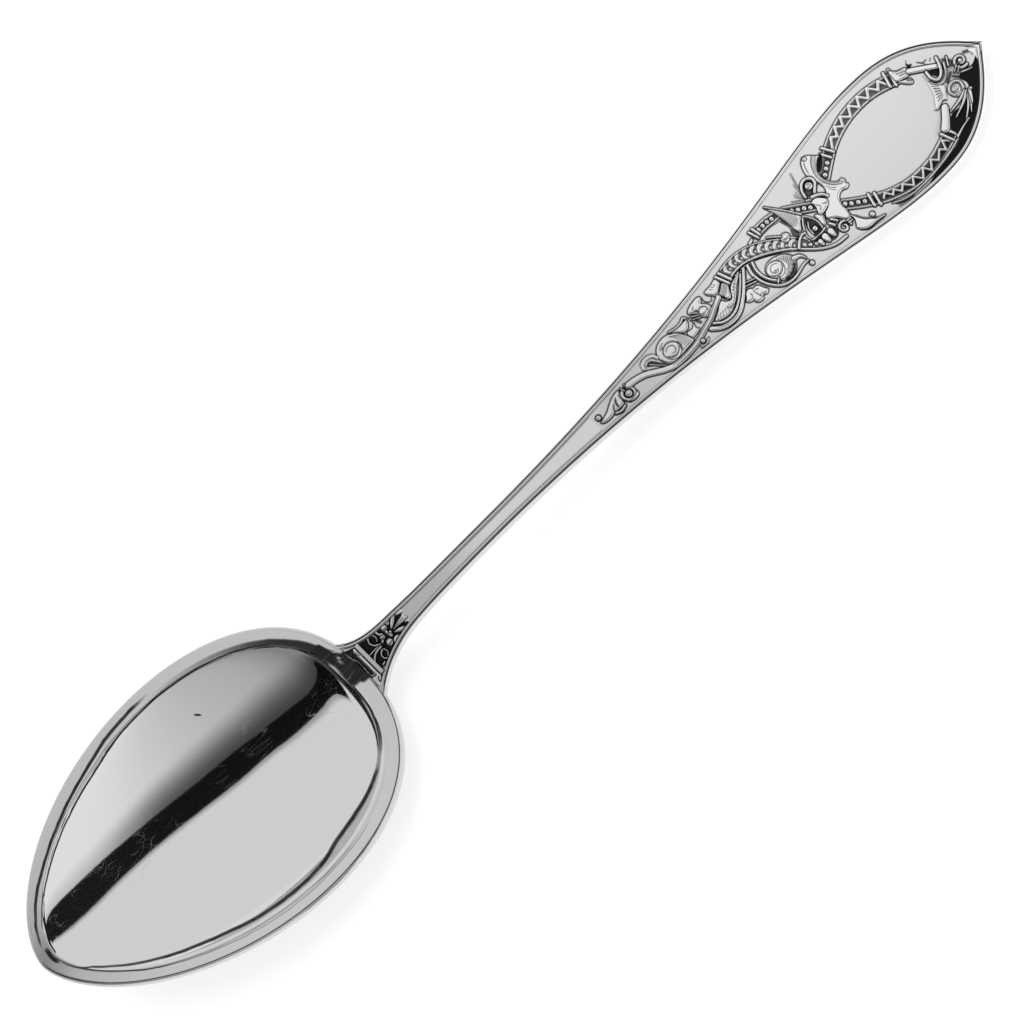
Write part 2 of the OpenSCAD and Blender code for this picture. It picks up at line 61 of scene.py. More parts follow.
# Widest place of the handle that the ornament's points were drawn for, in millimetres
DRAWN_WIDTH = 22.7
# Places along the handle where one plate of the relief ends and the next begins, but for the last end
SEAMS = (17.4, 43.0, 60.0, 78.0, 91.0)
# Space left between the last plate and the handle's tip
END_SPACE = 1.9
# Depth of a plate's underside below its ground
PLATE_DEPTH = 0.34
# Place where the neck's ornament ends, from which on the stem is plain
NECK_END = -24.4
# Strength of the white surroundings as they light the scene. They are seen and reflected at 1
WORLD_LIGHT = 0.85
# Soft light: place over the table and width, in metres
KEY_PLACE, KEY_SIZE = (-0.2, 0.5, 1.1), 1.0
# Angles in degrees over which an edge is crisp
BODY_CRISP, PLATE_CRISP = 28, 70


def length(name, text, value, low=0.0, high=1.0):
    """Property for a length in metres."""
    return FloatProperty(name=name, description=text, default=value, min=low, max=high,
                         unit="LENGTH", subtype="DISTANCE", precision=5)


def factor(name, text, value):
    """Property for a share from 0 to 1."""
    return FloatProperty(name=name, description=text, default=value, min=0, max=1, subtype="FACTOR")


def rotation(name, text, degrees):
    """Property for an angle, its default given in degrees."""
    return FloatProperty(name=name, description=text, default=math.radians(degrees), unit="ROTATION", subtype="ANGLE")


class SPOON_PG_form(bpy.types.PropertyGroup):
    """Sizes of the spoon's form: those of its CAD source, with the relief at its finer height"""

    spoon_len: length("Length", "From the bowl's tip to the handle's tip", 0.210)
    bowl_len: length("Bowl length", "From the bowl's tip to its heel", 0.069)
    bowl_width: length("Bowl width", "Over the rim", 0.0468)
    bowl_wide_at: length("Widest place", "From the bowl's tip", 0.0405)
    bowl_depth: length("Bowl depth", "Depth of the hollow below the rim", 0.0078)
    wall: length("Wall", "Thickness of the bowl", 0.0012)
    lip_width: length("Lip width", "Width of the lip around the hollow", 0.0030)
    lip_thick: length("Lip thickness", "Thickness of the lip at its side", 0.0018)
    tip_rise: length("Tip rise", "Climb of the rim from its widest place to the tip", 0.0074)
    heel_fall: length("Heel fall", "Fall of the rim from its widest place to the heel", 0.0035)
    stem_width: length("Stem width", "Where the stem is thinnest", 0.0039)
    stem_thick: length("Stem thickness", "Behind the neck", 0.0028)
    stem_thin_at: length("Thinnest place", "From the heel", 0.029)
    neck_flare: length("Neck flare", "Widening on each side where the neck meets the bowl", 0.0044)
    neck_flare_len: length("Flare length", "Length along which the flare dies out", 0.0046)
    neck_rise: length("Neck rise", "Height of the neck's face above the heel's rim", 0.0032)
    arch_rise: length("Arch rise", "Height of the handle's arch above the heel's rim", 0.0024)
    lobe_width: length("Lobe width", "Width of the handle at its widest place", 0.0227)
    lobe_at: length("Lobe place", "From the handle's tip to its widest place", 0.0205)
    lobe_thick: length("Lobe thickness", "Thickness at the widest place", 0.0019)
    tip_lift: length("Tip lift", "Upturn of the handle's tip", 0.0009)
    roll_width: length("Roll width", "Rolled edge outside the groove", 0.00035)
    thread_width: length("Thread width", "Raised thread inside the groove", 0.0004)
    groove_width: length("Groove width", "Groove on each side of the thread", 0.00018)
    drop_len: length("Drop length", "Drop under the bowl, from the heel", 0.012)
    drop_width: length("Drop width", "Where the drop leaves the stem", 0.0064)
    drop_height: length("Drop height", "Below the bowl's back", 0.001)
    ground_depth: length("Ground depth", "Ground inside the threads, below the face", 0.0003)
    relief: length("Relief", "Height of the ornament above its ground", 0.0004)


class SPOON_PG_detail(bpy.types.PropertyGroup):
    """How finely the surfaces are divided"""

    bowl_angles: IntProperty(name="Bowl angles", description="Points round the bowl", default=420, min=24)
    stations: IntProperty(name="Stations", description="Sections along the handle", default=500, min=40)
    relief_step: length("Relief step", "Space between the points of the plates", 0.000064)
    cell: length("Cell", "Side of a cell of the relief's height field", 0.00006)


class SPOON_PG_finish(bpy.types.PropertyGroup):
    """Look of the silver"""

    tone: factor("Tone", "Share of light that clean silver returns", 0.66)
    # Dark: the colour that the darkness mixes towards, for patina in the recesses and also for painted shade and
    # painted reflections
    dark: factor("Dark", "Share of light that the darkened recesses return", 0.02)
    roughness: factor("Roughness", "Roughness of the polished parts", 0.045)
    # Handle lit tone: painted lightening of the struck handle, paler than the bowl's silver, which stands in for the
    # brighter light it reflects
    handle_lit_tone: factor("Bloom", "Share of light that the struck part returns", 0.92)
    satin: factor("Satin", "Roughness of the struck ornament", 0.25)


class SPOON_PG_stage(bpy.types.PropertyGroup):
    """Camera, floor and light"""

    tilt: rotation("Tilt", "Camera's lean from straight above towards the lower side", 17)
    turn: rotation("Turn", "Angle of the spoon in the picture", 45.61)
    distance: length("Distance", "From the camera to the spoon", 0.91, high=5.0)
    lens: FloatProperty(name="Lens", description="Focal length in millimetres", default=200, min=10,
                        unit="CAMERA")
    aim_x: length("Aim along", "Place along the spoon in the picture's middle", -0.00161, low=-1)
    aim_y: length("Aim across", "Place across the spoon in the picture's middle", 0.00031, low=-1)
    ceiling_height: length("Ceiling height", "Height of the painted ceiling above the table", 0.6, high=5.0)
    key_power: FloatProperty(name="Key power", description="Power of the soft light", default=8, min=0,
                             unit="POWER")


# Curves


def mix(a, b, t):
    """Straight blend from a to b by t."""
    return a + (b - a) * t


def smooth(t):
    """Blend from 0 to 1 with level ends: 3 t^2 - 2 t^3, with t held between 0 and 1."""
    c = np.clip(t, 0, 1)
    return c * c * (3 - 2 * c)


def table_height(knots, x):
    """Height at x on the curve through a table of places.

    Each stretch is a cubic whose slope at a place is that of the line between its two neighbours.
    """
    k = np.asarray(knots, float)
    gap = np.diff(k[:, 0])
    slope = np.empty(len(k))
    slope[1:-1] = (k[2:, 1] - k[:-2, 1]) / (k[2:, 0] - k[:-2, 0])
    slope[0] = (k[1, 1] - k[0, 1]) / gap[0]
    slope[-1] = (k[-1, 1] - k[-2, 1]) / gap[-1]
    x = np.asarray(x, float)
    i = np.clip(np.searchsorted(k[:, 0], x, side="right") - 1, 0, len(gap) - 1)
    t = (x - k[i, 0]) / gap[i]
    return (k[i, 1] * (1 + 2 * t) * (1 - t) ** 2 + slope[i] * gap[i] * t * (1 - t) ** 2
            + k[i + 1, 1] * t * t * (3 - 2 * t) - slope[i + 1] * gap[i] * t * t * (1 - t))


def smooth_path(points, steps=8):
    """Rounded path that keeps its points: on each stretch a cubic through four neighbours."""
    p = np.asarray(points, float)
    if len(p) < 3:
        return p
    q = np.vstack([2 * p[0] - p[1], p, 2 * p[-1] - p[-2]])
    t = (np.arange(steps) / steps)[None, :, None]
    a, b, c, d = (q[i:i + len(p) - 1, None, :] for i in range(4))
    curve = 0.5 * (2 * b + (c - a) * t + (2 * a - 5 * b + 4 * c - d) * t ** 2
                   + (3 * b - a - 3 * c + d) * t ** 3)
    return np.vstack([curve.reshape(-1, 2), p[-1:]])


def smooth_loop(points, steps=6):
    """Rounded closed path through points, its first point repeated at the end."""
    p = np.vstack([points[-2:], points, points[:3]])
    path = smooth_path(p, steps)
    return path[2 * steps:(2 + len(points)) * steps + 1]


def spiral(centre, r_out, r_in, start, end, steps=48):
    """Spiral whose radius runs straight from the outer to the inner one between two angles in degrees."""
    t = np.linspace(0, 1, steps)
    a = np.radians(mix(start, end, t))
    r = mix(r_out, r_in, t)
    return np.c_[centre[0] + r * np.cos(a), centre[1] + r * np.sin(a)]


# Form of the spoon


class Form:
    """Sizes in millimetres and the curves that follow from them."""

    def __init__(self, settings):
        """Reads the settings and works out the places that depend on them."""
        for name in SPOON_PG_form.__annotations__:
            setattr(self, name, getattr(settings, name) / MM)
        self.tip_x = -self.spoon_len / 2
        self.wide_x = self.tip_x + self.bowl_wide_at
        self.heel_x = self.tip_x + self.bowl_len
        self.thin_x = self.heel_x + self.stem_thin_at
        self.end_x = self.spoon_len / 2
        self.lobe_x = self.end_x - self.lobe_at
        self.bowl_half = self.bowl_width / 2
        self.tip_full = 2 * self.bowl_wide_at / self.bowl_len
        self.heel_full = 2 - self.tip_full
        self.border = self.roll_width + 2 * self.groove_width + self.thread_width
        self.drawn_stretch = self.lobe_width / DRAWN_WIDTH
        neck_x, arch_x = self.heel_x + 0.35 * self.stem_thin_at, self.heel_x + 1.6 * self.stem_thin_at
        rest = -self.bowl_depth - self.wall
        face = [
            (self.tip_x, self.tip_rise), (self.wide_x, 0), (self.heel_x, -self.heel_fall),
            (neck_x, self.neck_rise - self.heel_fall), (arch_x, self.arch_rise - self.heel_fall),
            (self.lobe_x + 3, self.lobe_thick + rest), (self.end_x, self.lobe_thick + rest + self.tip_lift),
        ]
        self.thick_knots = [
            (self.heel_x, self.lip_thick + 0.6), (neck_x, self.stem_thick + 0.2), (arch_x, self.stem_thick),
            (self.lobe_x, self.lobe_thick), (self.end_x, self.lobe_thick),
        ]
        self.fine_x = np.arange(self.tip_x - 20, self.end_x + 20, 0.25)
        raw = table_height(face, np.clip(self.fine_x, self.tip_x, self.end_x))
        width = np.arange(-24, 25) * 0.25
        weight = np.exp(-(width / 2.2) ** 2)
        self.fine_z = np.convolve(raw, weight / weight.sum(), mode="same")
        self.lift = 0.0

    def face(self, x):
        """Height of the face at x: the curve through the heights, evened by a bell-shaped running mean."""
        return np.interp(x, self.fine_x, self.fine_z) + self.lift

    def neck_step(self, x):
        """Depth by which the neck's face starts below the lip's, dying out along the flare."""
        return 0.2 * (1 - smooth((x - self.heel_x) / self.neck_flare_len))

    def thick(self, x):
        """Thickness of the handle at x."""
        return table_height(self.thick_knots, np.clip(x, self.heel_x, self.end_x))

    def egg(self, t):
        """Half width of the bowl as a share of its widest, at a share t of its length from the tip.

        It is the root of t^A (1-t)^B over that product's highest value, where A + B is 2.
        """
        c = np.clip(t, 0, 1)
        m = self.bowl_wide_at / self.bowl_len
        peak = m ** self.tip_full * (1 - m) ** self.heel_full
        return np.sqrt(c ** self.tip_full * (1 - c) ** self.heel_full / peak)

    def hollow(self, x, y, margin):
        """Fall of the bowl at a place, 0 on the outline and 1 over the deepest place: (w^2 - v^2)^0.92."""
        w = self.egg((x - self.tip_x - margin) / (self.bowl_len - 2 * margin))
        v = y / (self.bowl_half - margin)
        return np.clip(w * w - v * v, 0, None) ** 0.92

    def rim(self, angle, margin, share=1.0):
        """Place on the bowl's outline, drawn in by a margin and scaled towards the widest place."""
        t = (1 + np.cos(angle)) / 2
        x = self.tip_x + margin + t * (self.bowl_len - 2 * margin)
        y = (self.bowl_half - margin) * self.egg(t) * np.sign(np.sin(angle))
        return self.wide_x + share * (x - self.wide_x), share * y

    def half(self, x):
        """Half width of the handle at x.

        Up to the lobe: half the stem, the flare as a falling exponential, and a widening of
        1.21 t^2.1 - 0.21 t^12 of the lobe's. Beyond it: the lobe's half times 1 - u^2.6.
        """
        x = np.asarray(x, float)
        t = np.clip((x - self.thin_x) / (self.lobe_x - self.thin_x), 0, 1)
        gain = 12 / (12 - 2.1)
        grow = gain * t ** 2.1 - (gain - 1) * t ** 12
        flare = self.neck_flare * np.exp(-np.clip(x - self.heel_x + 1, 0, None) / self.neck_flare_len)
        u = np.clip((x - self.lobe_x) / self.lobe_at, 0, 1)
        stem = self.stem_width / 2 + flare + (self.lobe_width - self.stem_width) / 2 * grow
        return np.where(x < self.lobe_x, stem, self.lobe_width / 2 * (1 - u ** 2.6))

    def lean(self, x):
        """Stretch of distances across the border where the edge runs aslant."""
        rise = (self.half(x + 0.1) - self.half(x - 0.1)) / 0.2
        return np.clip(np.sqrt(1 + rise * rise), 1, 1.8)

    def crown(self, x, y):
        """Rise of the handle's face towards its middle line: a shallow round over the lobe."""
        lobe = smooth((x - self.thin_x) / (self.lobe_x - self.thin_x))
        return -0.0012 * y * y * lobe


# Mesh building


def grid_faces(rows, columns, closed):
    """Quads between rows of points, each row joined to the next, and its ends joined if closed."""
    i = np.arange(rows - 1)[:, None]
    j = np.arange(columns if closed else columns - 1)[None, :]
    k = (j + 1) % columns
    a, b, c, d = i * columns + j, i * columns + k, (i + 1) * columns + k, (i + 1) * columns + j
    return np.stack([a, b, c, d], axis=-1).reshape(-1, 4)


def outward(points, quads, triangles):
    """Faces turned so that they face outwards: all are reversed if the enclosed volume comes out negative."""
    corners = np.vstack([quads[:, [0, 1, 2]], quads[:, [0, 2, 3]], triangles])
    a, b, c = (points[corners[:, k]] for k in range(3))
    if np.einsum("ij,ij->i", a, np.cross(b, c)).sum() < 0:
        return quads[:, ::-1], triangles[:, ::-1]
    return quads, triangles


def give_values(mesh, name, values):
    """Attribute on a mesh with one number or one vector per point."""
    kind, key = ("FLOAT", "value") if values.ndim == 1 else ("FLOAT_VECTOR", "vector")
    mesh.attributes.new(name, kind, "POINT").data.foreach_set(key, values.astype(np.float32).ravel())


def make_mesh(name, points, quads, triangles, attributes=None):
    """Mesh from arrays of points in millimetres, quads and triangles, with named values per point."""
    quads, triangles = outward(points, quads, triangles)
    mesh = bpy.data.meshes.new(name)
    count4, count3 = len(quads), len(triangles)
    mesh.vertices.add(len(points))
    mesh.vertices.foreach_set("co", (points * MM).astype(np.float32).ravel())
    corners = np.concatenate([quads.ravel(), triangles.ravel()]).astype(np.int32)
    starts = np.concatenate([np.arange(count4) * 4, count4 * 4 + np.arange(count3) * 3]).astype(np.int32)
    mesh.loops.add(len(corners))
    mesh.loops.foreach_set("vertex_index", corners)
    mesh.polygons.add(count4 + count3)
    mesh.polygons.foreach_set("loop_start", starts)
    mesh.update(calc_edges=True)
    for key, values in (attributes or {}).items():
        give_values(mesh, key, values)
    mesh.validate()
    mesh.polygons.foreach_set("use_smooth", np.ones(len(mesh.polygons), bool))
    return mesh


def add_object(context, name, mesh):
    """Object at the origin, linked to the scene, with any earlier one of its name removed."""
    if name in bpy.data.objects:
        bpy.data.objects.remove(bpy.data.objects[name])
    item = bpy.data.objects.new(name, mesh)
    context.scene.collection.objects.link(item)
    return item


def dress(item, angle):
    """Sets crisp edges by angle, gives the silver, hides the CAD spoon, and ties the piece to the spoon's body."""
    item.data.set_sharp_from_angle(angle=math.radians(angle))
    item.data.materials.clear()
    item.data.materials.append(silver())
    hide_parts("spoon")
    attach(item, "root")


def add_plate(context, name, parts, satin):
    """Dressed object of a plate, with its darkness and a share of satin that is a function of the place along."""
    points, quads, triangles, dark = parts
    values = {"darkness": dark, "satin": satin(points[:, 0])}
    dress(add_object(context, name, make_mesh(name, points, quads, triangles, values)), PLATE_CRISP)


# Bowl


def lip_profile(form):
    """Lip as rows of margin from the outline and depth below the rim, from the hollow to the underside.

    A small step rises from the hollow to the crisp inner edge. The top is nearly level, then it rounds over
    to the side.
    """
    w, t = form.lip_width, form.lip_thick
    return [
        (w + 0.4, 0.15), (w + 0.3, 0.115), (w + 0.2, 0.075), (w + 0.12, 0.04), (w + 0.05, 0.012), (w, 0.0),
        (w - 0.1, -0.005), (w - 0.25, 0.005), (w - 0.5, 0.02), (w - 0.8, 0.03), (w - 1.1, 0.022), (0.5 * w, 0.005),
        (0.42 * w, 0.0), (0.3 * w, 0.0), (0.24 * w, 0.004), (0.19 * w, 0.02), (0.15 * w, 0.07), (0.11 * w, 0.17),
        (0.07 * w, 0.32), (0.035 * w, 0.53), (0.01 * w, 0.78), (0.0, 1.0), (0.0, 1.2), (0.03 * w, 0.84 * t),
        (0.1 * w, 0.95 * t), (0.2 * w, t),
    ]


def bowl_shell(form, count):
    """Closed shell of the bowl: rings from the middle of the hollow over the lip to the back's middle.

    Ring points lie on scaled outlines. The hollow falls by its depth times the fall at that place,
    and the back by the depth and the wall.
    """
    angle = np.arange(count) * 2 * np.pi / count
    wobble = 0.05 * np.sin(7 * angle + 1) + 0.04 * np.sin(13 * angle + 2.1) + 0.03 * np.sin(29 * angle)
    edge_margin, edge_depth = lip_profile(form)[0]
    rings = []
    for share in np.sin(np.linspace(0.03, 1, 46)[:-1] * np.pi / 2):
        x, y = form.rim(angle, edge_margin, share)
        fall = edge_depth + (form.bowl_depth - edge_depth) * form.hollow(x, y, edge_margin)
        rings.append(np.c_[x, y, form.face(x) - fall])
    for margin, depth in lip_profile(form):
        inner = np.clip((margin - 0.8 * form.lip_width) / (0.2 * form.lip_width), 0, 1)
        x, y = form.rim(angle, margin + wobble * inner)
        rings.append(np.c_[x, y, form.face(x) - depth])
    last_margin, last_depth = lip_profile(form)[-1]
    for share in np.sin(np.linspace(1, 0.04, 34)[1:] * np.pi / 2):
        x, y = form.rim(angle, last_margin, share)
        fall = last_depth + (form.bowl_depth + form.wall - last_depth) * form.hollow(x, y, last_margin)
        rings.append(np.c_[x, y, form.face(x) - fall])
    points = np.vstack(rings)
    top = [form.wide_x, 0, form.face(form.wide_x) - form.bowl_depth]
    under = [form.wide_x, 0, form.face(form.wide_x) - form.bowl_depth - form.wall]
    points = np.vstack([points, [top, under]])
    quads = grid_faces(len(rings), count, True)[:, ::-1]
    i = np.arange(count)
    j = (i + 1) % count
    middle = len(points) - 2
    last = (len(rings) - 1) * count
    fan = np.r_[np.c_[np.full(count, middle), i, j], np.c_[np.full(count, middle + 1), last + j, last + i]]
    return points, quads, fan


def drop_shell(form, stations=28, sides=20):
    """Closed tongue on the bowl's back, tapering to a round end. Its thick end sinks into the stem."""
    t = np.linspace(0, 1, stations)[:, None]
    a = np.linspace(0, np.pi, sides)[None, :]
    x = form.heel_x + 2 - t * (form.drop_len + 2) + 0 * a
    half = mix(0.5 * form.drop_width, 1.3, t) * np.sqrt(np.clip(1 - t ** 6, 0.02, 1))
    fall = form.lip_thick + (form.bowl_depth + form.wall - form.lip_thick) * form.hollow(x, 0 * x, 0)
    low = form.drop_height * (1 - 0.8 * t)
    sink = 1.2 * smooth((x - form.heel_x + 0.6) / 2.4)
    z = form.face(x) - fall + 0.7 - (low + 0.7) * np.sin(a) + sink
    points = np.stack([x, half * np.cos(a), z], axis=-1).reshape(-1, 3)
    quads = grid_faces(stations, sides, True)
    first = np.arange(sides)
    last = (stations - 1) * sides + first
    caps = np.r_[np.c_[np.full(sides - 2, first[0]), first[1:-1], first[2:]][:, ::-1],
                 np.c_[np.full(sides - 2, last[0]), last[1:-1], last[2:]]]
    return points, quads, caps


# Handle


def border_profile(form, deep):
    """Handle's border as rows of distance from the edge and drop from the face.

    A round edge, a groove, a round thread, a groove, then the ground.
    """
    r, g, h = form.roll_width, form.groove_width, form.thread_width
    a = r + g
    b = a + h
    return [
        (0.0, 0.80), (0.0, 0.55), (0.02, 0.34), (0.07, 0.17), (0.14, 0.06), (0.22, 0.01), (0.5 * (0.22 + r), 0.0),
        (r - 0.03, 0.03), (r + 0.02, 0.1), (r + 0.5 * g, 0.2), (a - 0.03, 0.12), (a + 0.02, 0.05),
        (a + 0.1, 0.0), (a + 0.5 * h, -0.015), (b - 0.1, 0.0), (b - 0.03, 0.05), (b + 0.02, 0.12),
        (b + 0.4 * g, 0.25), (b + 0.8 * g, deep), (b + 1.3 * g, deep), (b + 0.5, deep),
    ]


def handle_shell(form, count):
    """Closed loft of the stem and handle, a section at each station along it.

    The face is the border on both sides and the ground between them. The back is half an oval,
    fuller towards the lobe. Distances from the edge shrink together where the handle gets thin.
    """
    start = form.heel_x - 0.6 * form.lip_width
    close = form.end_x - 1.5 * (1 - np.linspace(0, 1, 30)) ** 1.6
    x = np.unique(np.r_[np.linspace(start, form.end_x - 1.5, count), close])
    x[-1] = form.end_x - 0.004
    half = form.half(x)[:, None]
    lean = form.lean(x)[:, None]
    z = (form.face(x) - form.neck_step(x))[:, None]
    thick = form.thick(x)[:, None]
    under = smooth((x - SEAMS[0] - 0.1) / 1.5) * (1 - smooth((x - form.end_x + END_SPACE + 1) / 0.7))
    under += 1 - smooth((x - NECK_END + 2.6) / 2)
    profile = np.array(border_profile(form, form.ground_depth))
    fit = np.minimum(1, half / (1.25 * form.border * lean))
    away = np.minimum(profile[None, :, 0] * fit * lean, 0.985 * half)
    drop = np.broadcast_to(profile[None, :, 1], away.shape)
    deep = drop >= form.ground_depth - 1e-6
    ground = form.ground_depth + 0.17 * np.clip(under, 0, 1)[:, None]
    inside = (profile[None, :, 0] > form.border) & deep
    drop = np.where(inside, ground, drop)
    share = np.linspace(1, -1, 25)[None, 1:-1]
    inner = half - away[:, -1:]
    middle_y = inner * share
    middle_z = z - ground + form.crown(x[:, None], middle_y)
    left_y = half - away
    left_z = z - drop + form.crown(x[:, None], left_y)
    edge = profile[0, 1]
    turn = np.linspace(0, np.pi, 34)[None, 1:-1]
    full = smooth((x - form.thin_x) / (form.lobe_x - form.thin_x))[:, None]
    bulge = np.sin(turn) ** mix(0.42, 0.45, full)
    back_y = -half * np.cos(turn)
    back_z = z - edge - (thick - edge) * bulge
    y = np.hstack([left_y, middle_y, -left_y[:, ::-1], back_y])
    zz = np.hstack([left_z, middle_z, left_z[:, ::-1], back_z])
    columns = y.shape[1]
    points = np.stack([np.broadcast_to(x[:, None], y.shape), y, zz], axis=-1).reshape(-1, 3)
    quads = grid_faces(len(x), columns, True)
    ends = []
    for row, turned in ((0, False), (len(x) - 1, True)):
        ring = row * columns + np.arange(columns)
        centre = len(points)
        points = np.vstack([points, points[ring].mean(0)[None]])
        fan = np.c_[np.full(columns, centre), ring, np.roll(ring, -1)]
        ends.append(fan if turned else fan[:, ::-1])
    return points, quads[:, ::-1], np.vstack(ends)[:, ::-1]


# Relief


class Carving:
    """Height field of struck ornament on a lattice, with a darkness beside each height: patina in the recesses, and
    painted shade and painted reflections where they are drawn in.

    Lengths are in millimetres, heights and darknesses are shares from 0 to 1.
    """

    # Space round a shape that its outline reaches
    REACH = 0.5
    # Width over which a raised shape clears the darkness inside its edge
    CLEAR = 0.06
    # Outline: its middle's distance outside the edge, its half width, and its depth
    OUTLINE = (0.05, 0.085, 0.25)

    def __init__(self, x_low, x_high, y_high, cell, stretch):
        """Flat ground. Drawn points are stretched across by a factor."""
        self.cell = cell
        self.x = np.arange(x_low, x_high, cell)
        self.y = np.arange(-y_high, y_high, cell)
        self.h = np.zeros((len(self.x), len(self.y)))
        self.dark = np.zeros_like(self.h)
        self.stretch = stretch

    def carry(self, points):
        """Drawn points carried to the handle by the stretch across."""
        return np.atleast_2d(np.asarray(points, float)) * [1, self.stretch]

    def near(self, path, reach):
        """Part of the lattice within reach of a path: slices, distance and share of the path's length.

        The distance is the least over the path's segments, each by projection on to it.
        """
        low, high = path.min(0) - reach, path.max(0) + reach
        i0, i1 = np.searchsorted(self.x, [low[0], high[0]])
        j0, j1 = np.searchsorted(self.y, [low[1], high[1]])
        part = (slice(i0, i1), slice(j0, j1))
        gx, gy = self.x[i0:i1, None], self.y[None, j0:j1]
        best = np.full((i1 - i0, j1 - j0), 1e9)
        share = np.zeros_like(best)
        if len(path) == 1:
            return part, np.hypot(gx - path[0, 0], gy - path[0, 1]), share
        step = np.diff(path, axis=0)
        size = np.hypot(step[:, 0], step[:, 1])
        run = np.r_[0, np.cumsum(size)]
        for k in range(len(step)):
            dx, dy = gx - path[k, 0], gy - path[k, 1]
            t = np.clip((dx * step[k, 0] + dy * step[k, 1]) / max(size[k] ** 2, 1e-12), 0, 1)
            d = np.hypot(dx - t * step[k, 0], dy - t * step[k, 1])
            closer = d < best
            best = np.where(closer, d, best)
            share = np.where(closer, (run[k] + t * size[k]) / run[-1], share)
        return part, best, share

    def strip(self, points, wide, thin, high=1.0, kind="round", rounded=True, outline=1.0):
        """Strip along a path, its half width running from wide to thin.

        Across it the height is rounded, flat with round sides, doubled, or a low floor between two rails.
        Beside it the ground is cut down and darkened as a narrow outline.
        """
        path = self.carry(points)
        if rounded:
            path = smooth_path(path)
        part, d, s = self.near(path, max(wide, thin) + self.REACH)
        w = mix(wide, thin, s)
        q = d / w
        if kind == "flat":
            top = np.clip(1 - q ** 6, 0, 1) ** 0.5
        elif kind == "rail":
            rail = np.clip(1 - ((w - 0.14 - d) / 0.15) ** 4, 0, 1) ** 0.5
            top = np.maximum(0.3 * smooth((w - d) / 0.1), rail)
        elif kind == "double":
            top = np.clip(1 - q ** 4, 0, 1) ** 0.5 * (1 - 0.5 * np.exp(-(q / 0.25) ** 2))
        else:
            top = np.clip(1 - q ** 4, 0, 1) ** 0.5
        inside = d < w
        self.outline(part, d - w, outline)
        ground = np.where(top > 0.2, 0, self.h[part])
        self.h[part] = np.where(inside, np.maximum(top * high, ground), self.h[part])
        self.dark[part] *= 1 - smooth((w - d) / self.CLEAR)
        if kind == "rail":
            self.dark[part] = np.maximum(self.dark[part], 0.75 * smooth((w - 0.28 - d) / 0.08) * inside)
        if kind == "double":
            self.dark[part] = np.maximum(self.dark[part], 0.55 * np.exp(-(q / 0.25) ** 2) * inside)

    def outline(self, part, out, amount):
        """Narrow dark groove at a small distance outside a shape, from the distance out of it. Its darkness is patina
        in the groove and in part painted shade at the shape's foot.
        """
        middle, half, depth = self.OUTLINE
        beside = amount * np.exp(-((out - middle) / half) ** 2) * (out > -0.03)
        self.h[part] -= depth * beside * (self.h[part] > -0.15)
        self.dark[part] = np.maximum(self.dark[part], beside)

    def fill(self, points, high=0.8, shoulder=0.35, dark=0.0, outline=0.9):
        """Area inside a smooth closed outline: raised with round shoulders, or lowered and darkened.

        A place is inside if the line across from it meets the outline an odd number of times.
        """
        loop = smooth_loop(self.carry(points))
        part, d, _ = self.near(loop, self.REACH)
        gx, gy = self.x[part[0], None], self.y[None, part[1]]
        inside = np.zeros(d.shape, bool)
        for (x0, y0), (x1, y1) in zip(loop[:-1], loop[1:]):
            if y0 != y1:
                inside ^= ((y0 > gy) != (y1 > gy)) & (gx < x0 + (gy - y0) * (x1 - x0) / (y1 - y0))
        out = np.where(inside, -d, d)
        cover = smooth(-out / 0.08 + 0.5)
        if dark > 0:
            self.h[part] = np.where(inside, mix(self.h[part], high, smooth(-out / shoulder)), self.h[part])
            self.dark[part] = np.maximum(self.dark[part], dark * cover)
            return
        self.outline(part, out, outline)
        rise = np.clip(1 - np.clip(1 + out / shoulder, 0, 1) ** 3, 0, 1) ** 0.5
        self.h[part] = np.where(inside, high * rise, self.h[part])
        self.dark[part] *= 1 - smooth(-out / self.CLEAR)

    def clear_round(self, place, radius, ring):
        """Part of the lattice round a place, with the distances: clean inside the radius, a dark ring outside."""
        part, d, _ = self.near(self.carry(place), radius + self.REACH)
        self.outline(part, d - radius, ring)
        self.dark[part] *= 1 - smooth((radius - d) / self.CLEAR)
        return part, d

    def bead(self, place, radius, high=1.0, ring=1.0):
        """Round bead: a half ball's height, in a dark ring."""
        part, d = self.clear_round(place, radius, ring)
        top = high * np.sqrt(np.clip(1 - (d / radius) ** 2, 0, 1))
        self.h[part] = np.where(d < radius, np.maximum(top, 0.15), self.h[part])

    def disc(self, place, radius, high=1.0, ring=0.8):
        """Round disc with a broad low crown, in a dark ring."""
        part, d = self.clear_round(place, radius, ring)
        q = np.clip(d / radius, 0, 1)
        self.h[part] = np.where(d < radius, high * (1 - 0.25 * q * q) * np.sqrt(1 - q ** 8), self.h[part])

    def cut(self, points, half=0.09, depth=0.3, dark=0.9, rounded=True):
        """Engraved line: a bell-shaped groove along a path, darkened."""
        path = self.carry(points)
        if rounded:
            path = smooth_path(path)
        part, d, s = self.near(path, 4 * half)
        fade = np.sqrt(np.clip(np.minimum(s, 1 - s) / 0.12, 0.25, 1))
        bell = np.exp(-(d / (half * fade)) ** 2)
        self.h[part] -= depth * bell
        self.dark[part] = np.maximum(self.dark[part], dark * bell)

